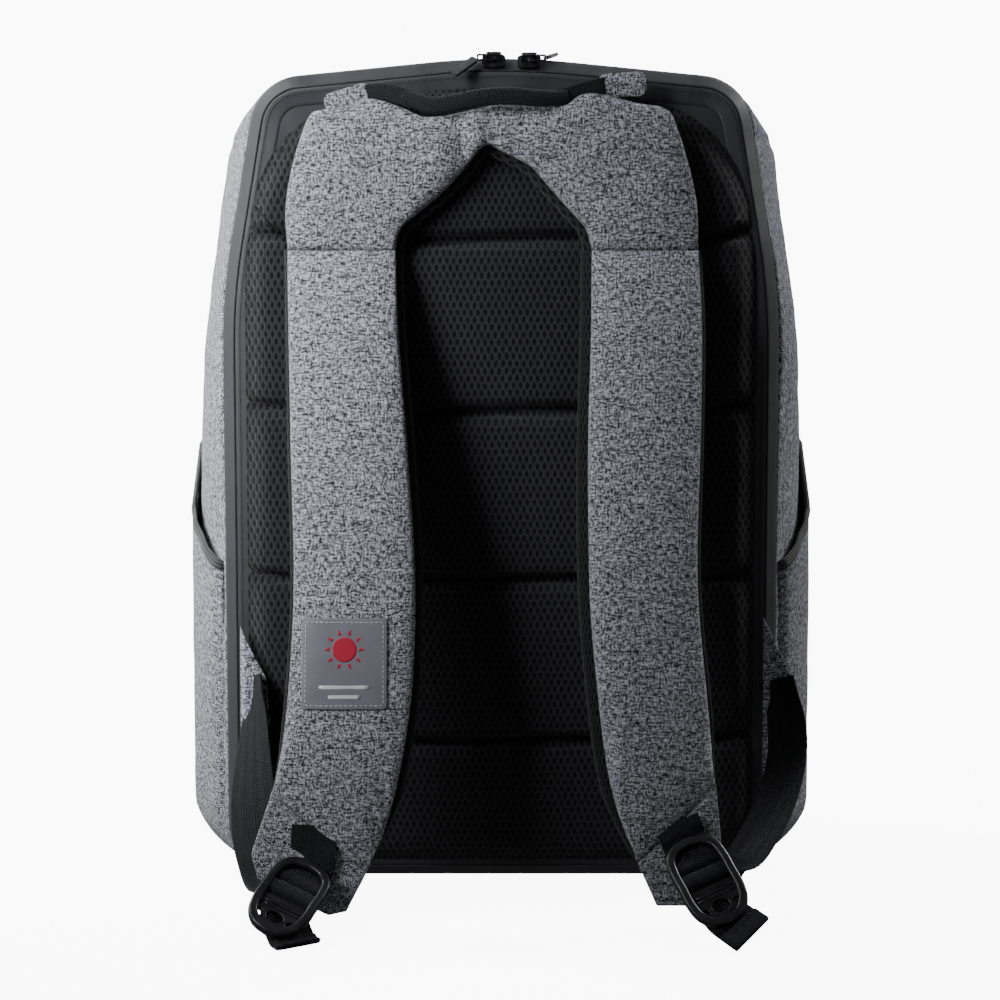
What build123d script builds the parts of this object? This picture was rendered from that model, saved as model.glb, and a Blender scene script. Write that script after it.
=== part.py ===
from build123d import *
from math import atan, atan2, cos, degrees, radians, tan
import os

os.makedirs("parts", exist_ok=True)

# A clamshell solar backpack standing on its base, in millimetres.
# +Z is up, the harness side faces -Y and the solar panel faces +Y.
# The origin is the centre of the flat base. Left (-X) and right (+X) are as seen from the harness.
# A "depth" is measured from the back panel's border towards +Y.

# ---------------------------------------------------------------- driving dimensions
BACK_Y = -80.0             # plane of the back panel's border
RIM_DEPTH = 7.0            # the gusset starts here, behind the bevelled zip strip
BELLY_DEPTH = 45.0
SEAM_DEPTH = 100.0         # the main compartment ends at the divider
POCKET_MIDDLE_DEPTH = 138.0
FRONT_DEPTH = 158.0
WALL = 2.5                 # quilted fabric wall
DIVIDER = 2.0
TOP_SLOPE = 0.098          # fall of the gabled top per millimetre of width

# half width, shoulder half width, top, waist height, shoulder radius, foot radius
RIM = (155.5, 135.0, 462.0, 330.0, 30.0, 30.0)
BELLY = (172.0, 150.0, 455.0, 295.0, 40.0, 36.0)
SEAM = (169.0, 150.0, 449.0, 295.0, 40.0, 38.0)
POCKET_ROOT = (165.0, 147.0, 438.0, 290.0, 40.0, 38.0)
POCKET_MIDDLE = (159.0, 139.0, 428.0, 285.0, 42.0, 40.0)
POCKET_FRONT = (142.0, 122.0, 408.0, 280.0, 44.0, 44.0)
POCKET_SECTIONS = (
    (POCKET_ROOT, SEAM_DEPTH + DIVIDER), (POCKET_MIDDLE, POCKET_MIDDLE_DEPTH), (POCKET_FRONT, FRONT_DEPTH),
)
POCKET_SLANT_WALLS = (WALL, 3.5, 6.5)   # insets that keep the slanting pocket walls about WALL thick
BASE_CUT = 0.5             # trimmed off the rounded feet to give the base a flat face
APEX_RADIUS = 400.0
WAIST_RADIUS = 350.0

BASE_SPLIT_Z = 26.0        # seam between the base and the side panels
TOP_SPLIT_Z = 415.0        # seam between the top and the side panels

# back panel, as insets from the rim outline
STRIP_WIDTH = 7.0          # bevelled strip of the shell, up to the zip line
STRIP_THICKNESS = 1.6
ZIP_GAP = 0.4
COIL_WIDTH = 2.0
COIL_HEIGHT = 1.2
BORDER_INSET = STRIP_WIDTH + ZIP_GAP
BORDER_WIDTH = 10.6
BORDER_THICKNESS = 2.0
BOARD_INSET = 9.0
BOARD_THICKNESS = 2.0
MESH_INSET = 16.0
MESH_SKIN = 2.0
PAD_FRONT = 12.0           # how far the padding stands in front of the border
CHANNEL_HEIGHTS = (79.5, 171.0, 266.0, 361.0)
CHANNEL_WIDTH = 8.0

# harness
SEAM_Z = 355.0             # seam between the yoke and both straps
JOINT_GAP = 0.5
YOKE_THICKNESS = 13.5
YOKE_FRONT = PAD_FRONT + YOKE_THICKNESS
STRAP_THICKNESS = 9.0
LINING_THICKNESS = 3.0
LINING_MARGIN = 2.5        # width of the mesh edge that shows beside the straps
STRAP_FOOT = (100.0, 5.0)  # distance in front of the border, and height, of the strap tips
STRAP_SAG = 14.0           # outward bow of the straps
SPARE_ANGLE = 3.0          # how far the bowed layers reach past both ends of the straps
END_LAYER = (2.5, 8.0)     # the thin strap end, behind the strap's outer face
PATCH_THICKNESS = 1.2
WEBBING_WIDTH = 25.0
WEBBING = 1.6

PATCH_CENTRE = (-82.5, 138.5)
PATCH_SIZE = (45.0, 47.0)
PATCH_CORNER = 2.0

# yoke seen from the front: its left, top and right edges, and the neck opening
NECK_POINT = (-8.0, 413.0)
NECK_RADIUS = 9.0
YOKE_LEFT = ((-116.3, SEAM_Z), (-117.5, 373), (-112.5, 404), (-104, 428))
YOKE_TOP = ((-104, 428), (-72, 437), (-42, 427), (-6, 430), (48, 439), (95, 430))
YOKE_RIGHT = ((95, 430), (101, 405), (106.5, 380), (107.5, SEAM_Z))
YOKE_NECK = (
    (107.5, SEAM_Z), (49.5, SEAM_Z), (46.5, 366), NECK_POINT, (-56, 365), (-57.5, SEAM_Z), (-116.3, SEAM_Z),
)

# outer edge, tip and inner edge of each strap seen from the front, and the seam of its end
STRAP_TOP_Z = SEAM_Z - JOINT_GAP
STRAPS = {
    "left": {
        "outer": ((-116.3, STRAP_TOP_Z), (-112.6, 252), (-110.5, 155), (-118.7, 80), (-132, 38)),
        "tip": ((-128.5, 25), (-91, 5.5)),
        "inner": ((-81.5, 7.5), (-65, 41), (-51, 92), (-45.3, 165), (-50, 250), (-57.5, STRAP_TOP_Z)),
        "seam": ((-150, 93.5), (-60, 20)),
    },
    "right": {
        "outer": ((107.5, STRAP_TOP_Z), (107.5, 258), (104.5, 175), (110, 112), (116.3, 45)),
        "tip": ((113, 22), (98, 10.5)),
        "inner": ((82, 10.5), (62, 58), (49.5, 135), (46.2, 220), (49.5, STRAP_TOP_Z)),
        "seam": ((50, 13.5), (140, 98)),
    },
}

# seam end, apex and seam end of each wing from the front, and its path from above (X, depth)
WINGS = {
    "left": ((-145.5, 143), (-129, 104), (-146, 60)),
    "right": ((147, 149), (164, 104), (148, 58)),
}
WING_PATHS = {
    "left": ((-147.5, -2.8), (-143, -13.5), (-128, -16)),
    "right": ((146, -2.8), (156, -3.2), (166, -4.5)),
}
WING_THICKNESS = 2.4

# centre line of the lower webbing from the front (X, Z) and from the side (depth, Z)
WEBBING_FRONT = {
    "left": ((-131, 108), (-134.5, 80), (-135, 52), (-128, 24), (-117, 8)),
    "right": ((153, 110), (155, 88), (148, 62), (135, 36), (122, 18)),
}
WEBBING_SIDE = {
    "left": ((-18.4, 108), (-22, 95), (-45, 64), (-74, 32), (-92, 9), (-104, 5)),
    "right": ((-6.6, 110), (-12, 98), (-42, 68), (-74, 38), (-92, 18), (-108, 16)),
}

# ladder lock
LOCK_WIDTH = 33.0
LOCK_LENGTH = 45.0
LOCK_THICKNESS = 3.5
LOCK_CORNER = 4.0
LOCK_BAR = 2.5
LOCK_SLOTS = (-2.3, -11.0, -18.5)
SLOT_SIZE = (26.5, 4.6)
LEVER_HOLES = ((0, -33, 4.5), (-9, -35, 2), (9, -35, 2))    # X, Y, radius
# centre of the top bar (X, depth, Z), the way the lock hangs, and the direction of its bars
LOCKS = {
    "left": ((-103.0, -104.0, 28.0), (-0.40, -0.81, -0.43), (0.894, -0.237, -0.385)),
    "right": ((100.0, -104.0, 40.0), (0.40, -0.66, -0.64), (0.894, 0.237, 0.385)),
}
LOOP_CLEARANCE = 0.3
LOOP_CORNER = 2.0
TAIL_START = 22.0
TAIL_LENGTHS = {"left": 18.0, "right": 26.0}

# zip sliders and their pulls
SLIDER_X = {"left": -4.0, "right": 15.5}
SLIDER_SIZE = (13.0, 9.5)
SLIDER_CORNER = 2.5
SLIDER_LIFT = 1.4          # running clearance above the zip strip
SLIDER_PLATE = 2.0
CROWN_SIZE = (9.0, 5.0)
CROWN_SINK = 0.5           # how far the crown reaches into the plate
CROWN_CORNER = 1.5
CROWN_WINDOW = (5.0, 2.6)
CROWN_WIDTH = 2.4
LINK_SIZE = (10.0, 5.4)
LINK_CORNER = 1.0
LINK_WIRE = 1.0
PULL_TAB = (17.0, 4.5)
PULL_CORNER = 1.5
TAB_START = 1.8            # clearance from the link's far wire
# the way each link points along the zip, and the way its tab hangs
PULLS = {
    "left": (-1, (-0.68, -0.50, -0.53)),
    "right": (1, (0.30, 0.93, 0.16)),
}

# carry handle
HANDLE_ENDS = ((-85.0, 443.0), (66.0, 446.0))
TAB_SIZE = (28.0, 12.0)
TAB_CORNER = 3.0
TAB_THICKNESS = 4.0
HANDLE_WEBBING = (9.0, 2.0)
GRIP_PATH = ((-58.0, -18.5, 442.0), (-8.0, -29.0, 438.5), (44.0, -18.5, 445.0))   # X, depth, Z
GRIP_SIZE = (8.0, 7.0)
GRIP_CORNER = 3.0
GRIP_CLEARANCE = 0.8

# laptop sleeve
SLEEVE_X = (-138, 138)
SLEEVE_DEPTHS = (78, SEAM_DEPTH)
SLEEVE_Z = (24, 330)
SLEEVE_WALL = 3.0
SLEEVE_CORNER = 12.0

# side pockets
POCKET_DEPTHS = (12.0, 96.0)
POCKET_OUT = 181.0
POCKET_RADII = (40.0, 12.0)   # rounding of the bulge at the back panel and at the front
POCKET_FOOT = 5.0
POCKET_BACK_TOP = 178.0    # height of the pocket mouth at the back panel
POCKET_MOUTH_RISE = 0.85   # rise of the mouth towards the front of the bag
POCKET_WALL = 1.8
OPEN_MOUTH = -60.0         # lifts a cutting block's mouth clear of the pocket
ELASTIC_HEIGHT = 6.0
ELASTIC_OVERLAP = 0.8
ELASTIC_CUT = 5.8          # the block inside the elastic is this much larger than the pocket

# front pocket and its zip
FRONT_INNER = FRONT_DEPTH - WALL
FRONT_ZIP_Z = 391.0
MOUTH_SIZE = (158.0, 3.0)  # slit behind the zip
FRONT_ZIP_SIZE = (170.0, 8.0)
FRONT_ZIP_CORNER = 1.0
FRONT_SLIDER_X = -70.0
FRONT_PULL = (4.5, 20.0)
FRONT_PULL_HEIGHTS = (5.0, 6.8)    # above the front face, clear of the solar laminate

# solar module, junction box and lead
MODULE_CENTRE_Z = 222.0
BORDER_SIZE = (236.0, 316.0)
BORDER_CORNER = 16.0
LAMINATE_SIZE = (206.0, 286.0)
LAMINATE_CORNER = 8.0
LAMINATE_THICKNESS = 2.0
CELL_SIZE = (94.0, 50.0)
CELL_GAP = 4.0
CELL_ROWS = 5
CELL_THICKNESS = 0.4
SKIN = 1.2
BOX_CENTRE = (55.0, 330.0)
BOX_SIZE = (64.0, 36.0)
BOX_CORNER = 4.0
BOX_DEPTH = 12.0
BOX_WALL = 2.0
LID_THICKNESS = 2.0
LEAD_RADIUS = 2.25
BEND_SHARE = 0.45          # part of the shorter run beside a corner that its bend takes up

# USB port on the right side of the front pocket
PORT_DEPTH = 122.0
PORT_Z = 300.0
PORT_SIZE = (30.0, 18.0)
PORT_BACK = 12.0
PORT_RECESS = 1.5          # the port's face inside the widest width of the front pocket
PORT_FACE_X = POCKET_ROOT[0] - PORT_RECESS
SOCKET_SIZE = (13.2, 5.8)
SOCKET_DEPTH = 9.0
SOCKET_WALL = 0.4
COVER_SIZE = (26.0, 14.0)
COVER_CORNER = 3.0
COVER_GAP = 0.4
COVER_THICKNESS = 1.8

CUT = 1.0                  # how far a cutting block reaches past the face that it cuts
FAR = 400.0                # larger than the bag, for cutting blocks


# ---------------------------------------------------------------- helpers
def upright(depth):
    """Vertical plane at a depth behind the border, facing the wearer; its axes are X and Z."""
    return Plane.XZ.offset(-(BACK_Y + depth))


def save(block, name):
    block.part.label = name
    export_step(block.part, f"parts/{name}.step")


def bag_outline(shape, inset=0.0, drop=0.0):
    """Front-on outline of the bag: a gabled top, tapered shoulders and rounded feet at -drop."""
    half, shoulder, top, waist, shoulder_radius, foot_radius = shape
    shoulder_z = top - TOP_SLOPE * shoulder
    with BuildSketch() as outline:
        with BuildLine():
            Polyline(
                (0, top), (shoulder, shoulder_z), (half, waist), (half, -drop),
                (-half, -drop), (-half, waist), (-shoulder, shoulder_z), close=True,
            )
        make_face()
        for corner, radius in (
            ((half, -drop), foot_radius), ((-half, -drop), foot_radius),
            ((half, waist), WAIST_RADIUS), ((-half, waist), WAIST_RADIUS),
            ((shoulder, shoulder_z), shoulder_radius), ((-shoulder, shoulder_z), shoulder_radius),
            ((0, top), APEX_RADIUS),
        ):
            fillet(outline.vertices().sort_by_distance(corner)[0], radius)
        if inset:
            offset(amount=-inset, mode=Mode.REPLACE)
    return outline.sketch


def section(shape, depth, inset=0.0, drop=0.0):
    """The bag's outline placed at its depth."""
    return upright(depth) * bag_outline(shape, inset, drop)


def plate(inset, front, back, mode=Mode.ADD):
    """Flat panel of the rim outline between two depths."""
    extrude(section(RIM, back, inset), amount=back - front, mode=mode)


def slab(x_range, depth_range, z_range, mode=Mode.ADD):
    """Block from its limits; those along Y are depths."""
    limits = (x_range, [BACK_Y + depth for depth in depth_range], z_range)
    size = [high - low for low, high in limits]
    with Locations(Vector(*[(low + high) / 2 for low, high in limits])):
        Box(*size, mode=mode)


def cut_flat():
    """Cuts the block under construction off at the plane that the bag stands on."""
    split(bisect_by=Plane.XY, keep=Keep.TOP)


# ---------------------------------------------------------------- main compartment
MAIN_DEPTHS = (RIM_DEPTH - CUT, SEAM_DEPTH + CUT)
MAIN_SECTIONS = ((RIM, RIM_DEPTH), (BELLY, BELLY_DEPTH), (SEAM, SEAM_DEPTH))

with BuildPart() as main_volume:
    loft([section(shape, depth, 0, BASE_CUT) for shape, depth in MAIN_SECTIONS])
    cut_flat()

with BuildPart() as gusset:
    add(main_volume.part)
    loft([section(shape, depth, WALL) for shape, depth in MAIN_SECTIONS], mode=Mode.SUBTRACT)

with BuildPart() as base_panel:
    add(gusset.part)
    slab((-FAR, FAR), MAIN_DEPTHS, (-CUT, BASE_SPLIT_Z), mode=Mode.INTERSECT)
save(base_panel, "base_panel")

with BuildPart() as top_panel:
    add(gusset.part)
    slab((-FAR, FAR), MAIN_DEPTHS, (TOP_SPLIT_Z, 2 * FAR), mode=Mode.INTERSECT)
save(top_panel, "top_panel")

for side, x_range in (("left", (-FAR, 0)), ("right", (0, FAR))):
    with BuildPart() as side_panel:
        add(gusset.part)
        slab(x_range, MAIN_DEPTHS, (BASE_SPLIT_Z, TOP_SPLIT_Z), mode=Mode.INTERSECT)
    save(side_panel, f"side_panel_{side}")

with BuildPart() as divider_panel:
    extrude(section(SEAM, SEAM_DEPTH + DIVIDER), amount=DIVIDER)
save(divider_panel, "divider_panel")

with BuildPart() as laptop_sleeve:
    slab(SLEEVE_X, SLEEVE_DEPTHS, SLEEVE_Z)
    fillet(laptop_sleeve.edges().filter_by(Axis.Y), SLEEVE_CORNER)
    slab(
        (SLEEVE_X[0] + SLEEVE_WALL, SLEEVE_X[1] - SLEEVE_WALL),
        (SLEEVE_DEPTHS[0] + SLEEVE_WALL, SLEEVE_DEPTHS[1] + CUT),
        (SLEEVE_Z[0] + SLEEVE_WALL, SLEEVE_Z[1] + CUT), mode=Mode.SUBTRACT,
    )
save(laptop_sleeve, "laptop_sleeve")

# ---------------------------------------------------------------- front pocket
with BuildPart() as pocket_volume:
    loft([section(shape, depth, 0, BASE_CUT) for shape, depth in POCKET_SECTIONS])
    cut_flat()

port_x = POCKET_ROOT[0]
with BuildPart() as port_block:
    slab(
        (port_x - PORT_BACK, port_x),
        (PORT_DEPTH - PORT_SIZE[0] / 2, PORT_DEPTH + PORT_SIZE[0] / 2),
        (PORT_Z - PORT_SIZE[1] / 2, PORT_Z + PORT_SIZE[1] / 2),
    )

with BuildPart() as front_pocket_shell:
    add(pocket_volume.part)
    loft([
        section(shape, min(depth, FRONT_INNER), wall)
        for (shape, depth), wall in zip(POCKET_SECTIONS, POCKET_SLANT_WALLS)
    ], mode=Mode.SUBTRACT)
    add(port_block.part, mode=Mode.SUBTRACT)
    slab(
        (-MOUTH_SIZE[0] / 2, MOUTH_SIZE[0] / 2), (FRONT_INNER - CUT, FRONT_DEPTH + CUT),
        (FRONT_ZIP_Z - MOUTH_SIZE[1] / 2, FRONT_ZIP_Z + MOUTH_SIZE[1] / 2), mode=Mode.SUBTRACT,
    )
save(front_pocket_shell, "front_pocket_shell")

# ---------------------------------------------------------------- side pockets
def pocket_block(side, shrink, mouth_drop, mode=Mode.ADD):
    """Bulge beside the bag with rounded edges and a mouth that rises towards the front."""
    depths = (POCKET_DEPTHS[0] + shrink, POCKET_DEPTHS[1] - shrink)
    mouth = [
        POCKET_BACK_TOP + POCKET_MOUTH_RISE * (depth - POCKET_DEPTHS[0]) - mouth_drop for depth in depths
    ]
    foot = POCKET_FOOT + shrink
    with BuildPart(mode=Mode.PRIVATE) as block:
        with BuildSketch(Plane.YZ):
            with BuildLine():
                Polyline(
                    (BACK_Y + depths[0], foot), (BACK_Y + depths[1], foot),
                    (BACK_Y + depths[1], mouth[1]), (BACK_Y + depths[0], mouth[0]), close=True,
                )
            make_face()
        extrude(amount=POCKET_OUT - shrink)
        for radius, end in zip(POCKET_RADII, (0, -1)):
            outer_face = block.faces().sort_by(Axis.X)[-1]
            fillet(outer_face.edges().filter_by(Axis.Z).sort_by(Axis.Y)[end], radius - shrink)
    shape = block.part if side == "right" else mirror(block.part, about=Plane.YZ, mode=Mode.PRIVATE)
    add(shape, mode=mode)


for side in ("left", "right"):
    with BuildPart() as side_pocket:
        pocket_block(side, 0, 0)
        pocket_block(side, POCKET_WALL, OPEN_MOUTH, mode=Mode.SUBTRACT)
        add(main_volume.part, mode=Mode.SUBTRACT)
    save(side_pocket, f"side_pocket_{side}")

    with BuildPart() as pocket_elastic:
        pocket_block(side, -ELASTIC_OVERLAP, -ELASTIC_OVERLAP)
        pocket_block(side, -ELASTIC_CUT, ELASTIC_HEIGHT, mode=Mode.SUBTRACT)
        pocket_block(side, 0, 0, mode=Mode.SUBTRACT)
        pocket_block(side, POCKET_WALL, OPEN_MOUTH, mode=Mode.SUBTRACT)
        add(main_volume.part, mode=Mode.SUBTRACT)
    save(pocket_elastic, f"pocket_elastic_{side}")

# ---------------------------------------------------------------- main zip
with BuildPart() as zip_track_shell:
    loft([section(RIM, 0, STRIP_WIDTH), section(RIM, RIM_DEPTH)])
    loft([
        section(RIM, STRIP_THICKNESS, STRIP_WIDTH), section(RIM, RIM_DEPTH + STRIP_THICKNESS),
    ], mode=Mode.SUBTRACT)
    plate(STRIP_WIDTH, -CUT, RIM_DEPTH, mode=Mode.SUBTRACT)
save(zip_track_shell, "zip_track_shell")

with BuildPart() as zip_track_panel:
    plate(BORDER_INSET, -COIL_HEIGHT, 0)
    plate(BORDER_INSET + COIL_WIDTH, -COIL_HEIGHT - CUT, CUT, mode=Mode.SUBTRACT)
save(zip_track_panel, "zip_track_panel")

# ---------------------------------------------------------------- back panel
with BuildPart() as back_border:
    plate(BORDER_INSET, 0, BORDER_THICKNESS)
    plate(BORDER_INSET + BORDER_WIDTH, -CUT, BORDER_THICKNESS + CUT, mode=Mode.SUBTRACT)
save(back_border, "back_border")

with BuildPart() as back_board:
    plate(BOARD_INSET, BORDER_THICKNESS, BORDER_THICKNESS + BOARD_THICKNESS)
save(back_board, "back_board")

PAD_EDGES = (0.0, *CHANNEL_HEIGHTS, RIM[2])


def pad_rows(inset, front, back, mode=Mode.ADD):
    """Row of pads between the horizontal channels, each cut from the panel's outline."""
    margin = CHANNEL_WIDTH / 2 + inset - MESH_INSET
    for low, high in zip(PAD_EDGES, PAD_EDGES[1:]):
        with BuildSketch(upright(back)) as pad:
            add(bag_outline(RIM, inset))
            with Locations((0, (low + high) / 2)):
                Rectangle(FAR, high - low - 2 * margin, mode=Mode.INTERSECT)
        extrude(pad.sketch, amount=back - front, mode=mode)


with BuildPart() as back_pads:
    pad_rows(MESH_INSET + MESH_SKIN, MESH_SKIN - PAD_FRONT, BORDER_THICKNESS)
save(back_pads, "back_pads")

with BuildPart() as mesh_cover:
    plate(MESH_INSET, -MESH_SKIN, 0)
    pad_rows(MESH_INSET, -PAD_FRONT, -MESH_SKIN)
    add(back_pads.part, mode=Mode.SUBTRACT)
save(mesh_cover, "mesh_cover")

# ---------------------------------------------------------------- straps' side view
strap_top = Vector(BACK_Y - YOKE_FRONT, SEAM_Z)
strap_tip = Vector(BACK_Y - STRAP_FOOT[0], STRAP_FOOT[1])
chord = strap_tip - strap_top
STRAP_RADIUS = chord.length**2 / (8 * STRAP_SAG) + STRAP_SAG / 2
centre = (strap_top + strap_tip) / 2 + Vector(-chord.Y, chord.X).normalized() * (STRAP_RADIUS - STRAP_SAG)
STRAP_CENTRE = (centre.X, centre.Y)
SWEEP_START = degrees(atan2(strap_top.Y - centre.Y, strap_top.X - centre.X)) - SPARE_ANGLE
SWEEP_END = degrees(atan2(strap_tip.Y - centre.Y, strap_tip.X - centre.X)) + 360 + SPARE_ANGLE


def on_strap(outline, near, far, mode=Mode.ADD):
    """A front-on outline laid on the straps between two depths behind their outer face."""
    with BuildPart() as layer:
        with BuildSketch(Plane.YZ):
            with BuildLine():
                outer = CenterArc(STRAP_CENTRE, STRAP_RADIUS - near, SWEEP_START, SWEEP_END - SWEEP_START)
                inner = CenterArc(STRAP_CENTRE, STRAP_RADIUS - far, SWEEP_START, SWEEP_END - SWEEP_START)
                Line(outer @ 0, inner @ 0)
                Line(outer @ 1, inner @ 1)
            make_face()
        extrude(amount=FAR, both=True)
        extrude(Plane.XZ * outline, amount=FAR, both=True, mode=Mode.INTERSECT)
    add(layer.part, mode=mode)


def ribbon(front_path, side_path, width, thickness, mode=Mode.ADD):
    """Webbing from its centre line seen from the front (X, Z) and from the side (Y, Z)."""
    with BuildPart() as strip:
        with BuildSketch(Plane.XZ):
            with BuildLine():
                Spline(*front_path)
            trace(line_width=width)
        extrude(amount=FAR, both=True)
        with BuildSketch(Plane.YZ):
            with BuildLine():
                Spline(*side_path)
            trace(line_width=thickness)
        extrude(amount=FAR, both=True, mode=Mode.INTERSECT)
    add(strip.part, mode=mode)


def handle_tab(end, mode=Mode.ADD):
    """Fabric tab that holds one end of the carry handle, tucked under the yoke's edge."""
    with BuildPart() as tab:
        with BuildSketch(upright(-PAD_FRONT)):
            with Locations(end):
                RectangleRounded(*TAB_SIZE, TAB_CORNER)
        extrude(amount=TAB_THICKNESS)
    add(tab.part, mode=mode)


# ---------------------------------------------------------------- yoke and straps
with BuildPart() as harness_yoke:
    with BuildSketch(upright(-PAD_FRONT)) as yoke_outline:
        with BuildLine():
            Spline(*YOKE_LEFT)
            Spline(*YOKE_TOP)
            Spline(*YOKE_RIGHT)
            Polyline(*YOKE_NECK)
        make_face()
        neck = yoke_outline.vertices().sort_by_distance(NECK_POINT)[0]
        fillet(neck, NECK_RADIUS)
    extrude(amount=YOKE_THICKNESS)
    for end in HANDLE_ENDS:
        handle_tab(end, mode=Mode.SUBTRACT)
save(harness_yoke, "harness_yoke")

def strap_outline(side, below_seam, margin=0.0):
    """The strap above the diagonal seam of its end, or the end below that seam."""
    shape = STRAPS[side]
    widen = margin if side == "right" else -margin
    outer = [(x + widen, z) for x, z in shape["outer"]]
    inner = [(x - widen, z) for x, z in shape["inner"]]
    (x1, z1), (x2, z2) = shape["seam"]
    with BuildSketch() as outline:
        with BuildLine():
            Spline(*outer)
            Polyline(outer[-1], *shape["tip"], inner[0])
            Spline(*inner)
            Line(inner[-1], outer[0])
        make_face()
        with BuildLine():
            Polyline((x1, z1), (x2, z2), (x2, -FAR), (x1, -FAR), close=True)
        make_face(mode=Mode.INTERSECT if below_seam else Mode.SUBTRACT)
    return outline.sketch


for side in ("left", "right"):
    with BuildPart() as strap:
        on_strap(strap_outline(side, False), 0, STRAP_THICKNESS)
    save(strap, f"strap_{side}")

    with BuildPart() as strap_lining:
        lining_back = STRAP_THICKNESS + LINING_THICKNESS
        on_strap(strap_outline(side, False, LINING_MARGIN), STRAP_THICKNESS, lining_back)
    save(strap_lining, f"strap_lining_{side}")

    with BuildPart() as strap_end:
        on_strap(strap_outline(side, True), *END_LAYER)
    save(strap_end, f"strap_end_{side}")

with BuildSketch() as patch_outline:
    with Locations(PATCH_CENTRE):
        RectangleRounded(*PATCH_SIZE, PATCH_CORNER)
with BuildPart() as label_patch:
    on_strap(patch_outline.sketch, -PATCH_THICKNESS, 0)
save(label_patch, "label_patch")


# ---------------------------------------------------------------- wings and lower webbing
for side in ("left", "right"):
    with BuildPart() as wing:
        with BuildSketch(Plane.XZ):
            with BuildLine():
                Polyline(*WINGS[side], close=True)
            make_face()
        extrude(amount=FAR, both=True)
        with BuildSketch(Plane.XY):
            with BuildLine():
                Polyline(*[(x, BACK_Y + depth) for x, depth in WING_PATHS[side]])
            trace(line_width=WING_THICKNESS)
        extrude(amount=FAR, mode=Mode.INTERSECT)
    save(wing, f"wing_{side}")

    with BuildPart() as lower_webbing:
        side_path = [(BACK_Y + depth, z) for depth, z in WEBBING_SIDE[side]]
        ribbon(WEBBING_FRONT[side], side_path, WEBBING_WIDTH, WEBBING)
    save(lower_webbing, f"lower_webbing_{side}")

# ---------------------------------------------------------------- ladder locks and tails
def lock_plane(side):
    """Plane of a ladder lock: x along its bars, y up the lock, z out of its front."""
    (x, depth, z), hang, bars = LOCKS[side]
    up = -Vector(*hang)
    front = Vector(*bars).cross(up)
    return Plane((x, BACK_Y + depth, z), x_dir=up.cross(front), z_dir=front)


for side in ("left", "right"):
    lock = lock_plane(side)
    with BuildPart() as ladder_lock:
        with BuildSketch(lock):
            with Locations((0, LOCK_BAR - LOCK_LENGTH / 2)):
                RectangleRounded(LOCK_WIDTH, LOCK_LENGTH, LOCK_CORNER)
            for slot_y in LOCK_SLOTS:
                with Locations((0, slot_y)):
                    Rectangle(*SLOT_SIZE, mode=Mode.SUBTRACT)
            for x, y, radius in LEVER_HOLES:
                with Locations((x, y)):
                    Circle(radius, mode=Mode.SUBTRACT)
        extrude(amount=LOCK_THICKNESS / 2, both=True)
    save(ladder_lock, f"ladder_lock_{side}")

    with BuildPart() as anchor_webbing:
        inside = (LOCK_BAR + 2 * LOOP_CLEARANCE, LOCK_THICKNESS + 2 * LOOP_CLEARANCE)
        with BuildSketch(Plane(lock.origin, x_dir=lock.y_dir, z_dir=lock.x_dir)):
            with Locations((LOCK_BAR / 2, 0)):
                RectangleRounded(inside[0] + 2 * WEBBING, inside[1] + 2 * WEBBING, LOOP_CORNER)
                Rectangle(*inside, mode=Mode.SUBTRACT)
        extrude(amount=WEBBING_WIDTH / 2, both=True)
    save(anchor_webbing, f"anchor_webbing_{side}")

    with BuildPart() as webbing_tail:
        with BuildSketch(lock.offset(-LOCK_THICKNESS / 2 - 2 * WEBBING)):
            with Locations((0, -TAIL_START - TAIL_LENGTHS[side] / 2)):
                Rectangle(WEBBING_WIDTH, TAIL_LENGTHS[side])
        extrude(amount=WEBBING)
    save(webbing_tail, f"webbing_tail_{side}")

# ---------------------------------------------------------------- carry handle
for side, end in zip(("left", "right"), HANDLE_ENDS):
    with BuildPart() as tab:
        handle_tab(end)
    save(tab, f"handle_tab_{side}")

grip_points = [(x, BACK_Y + depth, z) for x, depth, z in GRIP_PATH]
with BuildPart() as handle_grip:
    with BuildLine():
        grip_line = ThreePointArc(*grip_points)
    with BuildSketch(Plane(grip_line @ 0, x_dir=(0, 0, 1), z_dir=grip_line % 0)):
        RectangleRounded(*GRIP_SIZE, GRIP_CORNER)
    sweep()
save(handle_grip, "handle_grip")

with BuildPart() as handle_webbing:
    webbing_face = -PAD_FRONT - TAB_THICKNESS
    grip_limits = (GRIP_PATH[0][0] - GRIP_CLEARANCE, GRIP_PATH[2][0] + GRIP_CLEARANCE)
    for end, grip_limit in zip(HANDLE_ENDS, grip_limits):
        slab(
            sorted((end[0], grip_limit)), (webbing_face - HANDLE_WEBBING[1], webbing_face),
            (end[1] - HANDLE_WEBBING[0] / 2, end[1] + HANDLE_WEBBING[0] / 2),
        )
save(handle_webbing, "handle_webbing")

# ---------------------------------------------------------------- zip sliders and pulls
def slider_body(plane):
    """Slider plate with its crown, the bridge that the link passes through."""
    with BuildPart(mode=Mode.PRIVATE) as body:
        with BuildSketch(plane.offset(SLIDER_LIFT)):
            RectangleRounded(*SLIDER_SIZE, SLIDER_CORNER)
        extrude(amount=SLIDER_PLATE)
        across = Plane(plane.origin, x_dir=plane.x_dir, z_dir=-plane.y_dir)
        with BuildSketch(across):
            with Locations((0, SLIDER_LIFT + SLIDER_PLATE + CROWN_SIZE[1] / 2 - CROWN_SINK)):
                RectangleRounded(CROWN_SIZE[0], CROWN_SIZE[1] + 2 * CROWN_SINK, CROWN_CORNER)
                Rectangle(*CROWN_WINDOW, mode=Mode.SUBTRACT)
        extrude(amount=CROWN_WIDTH / 2, both=True)
    add(body.part)


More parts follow.
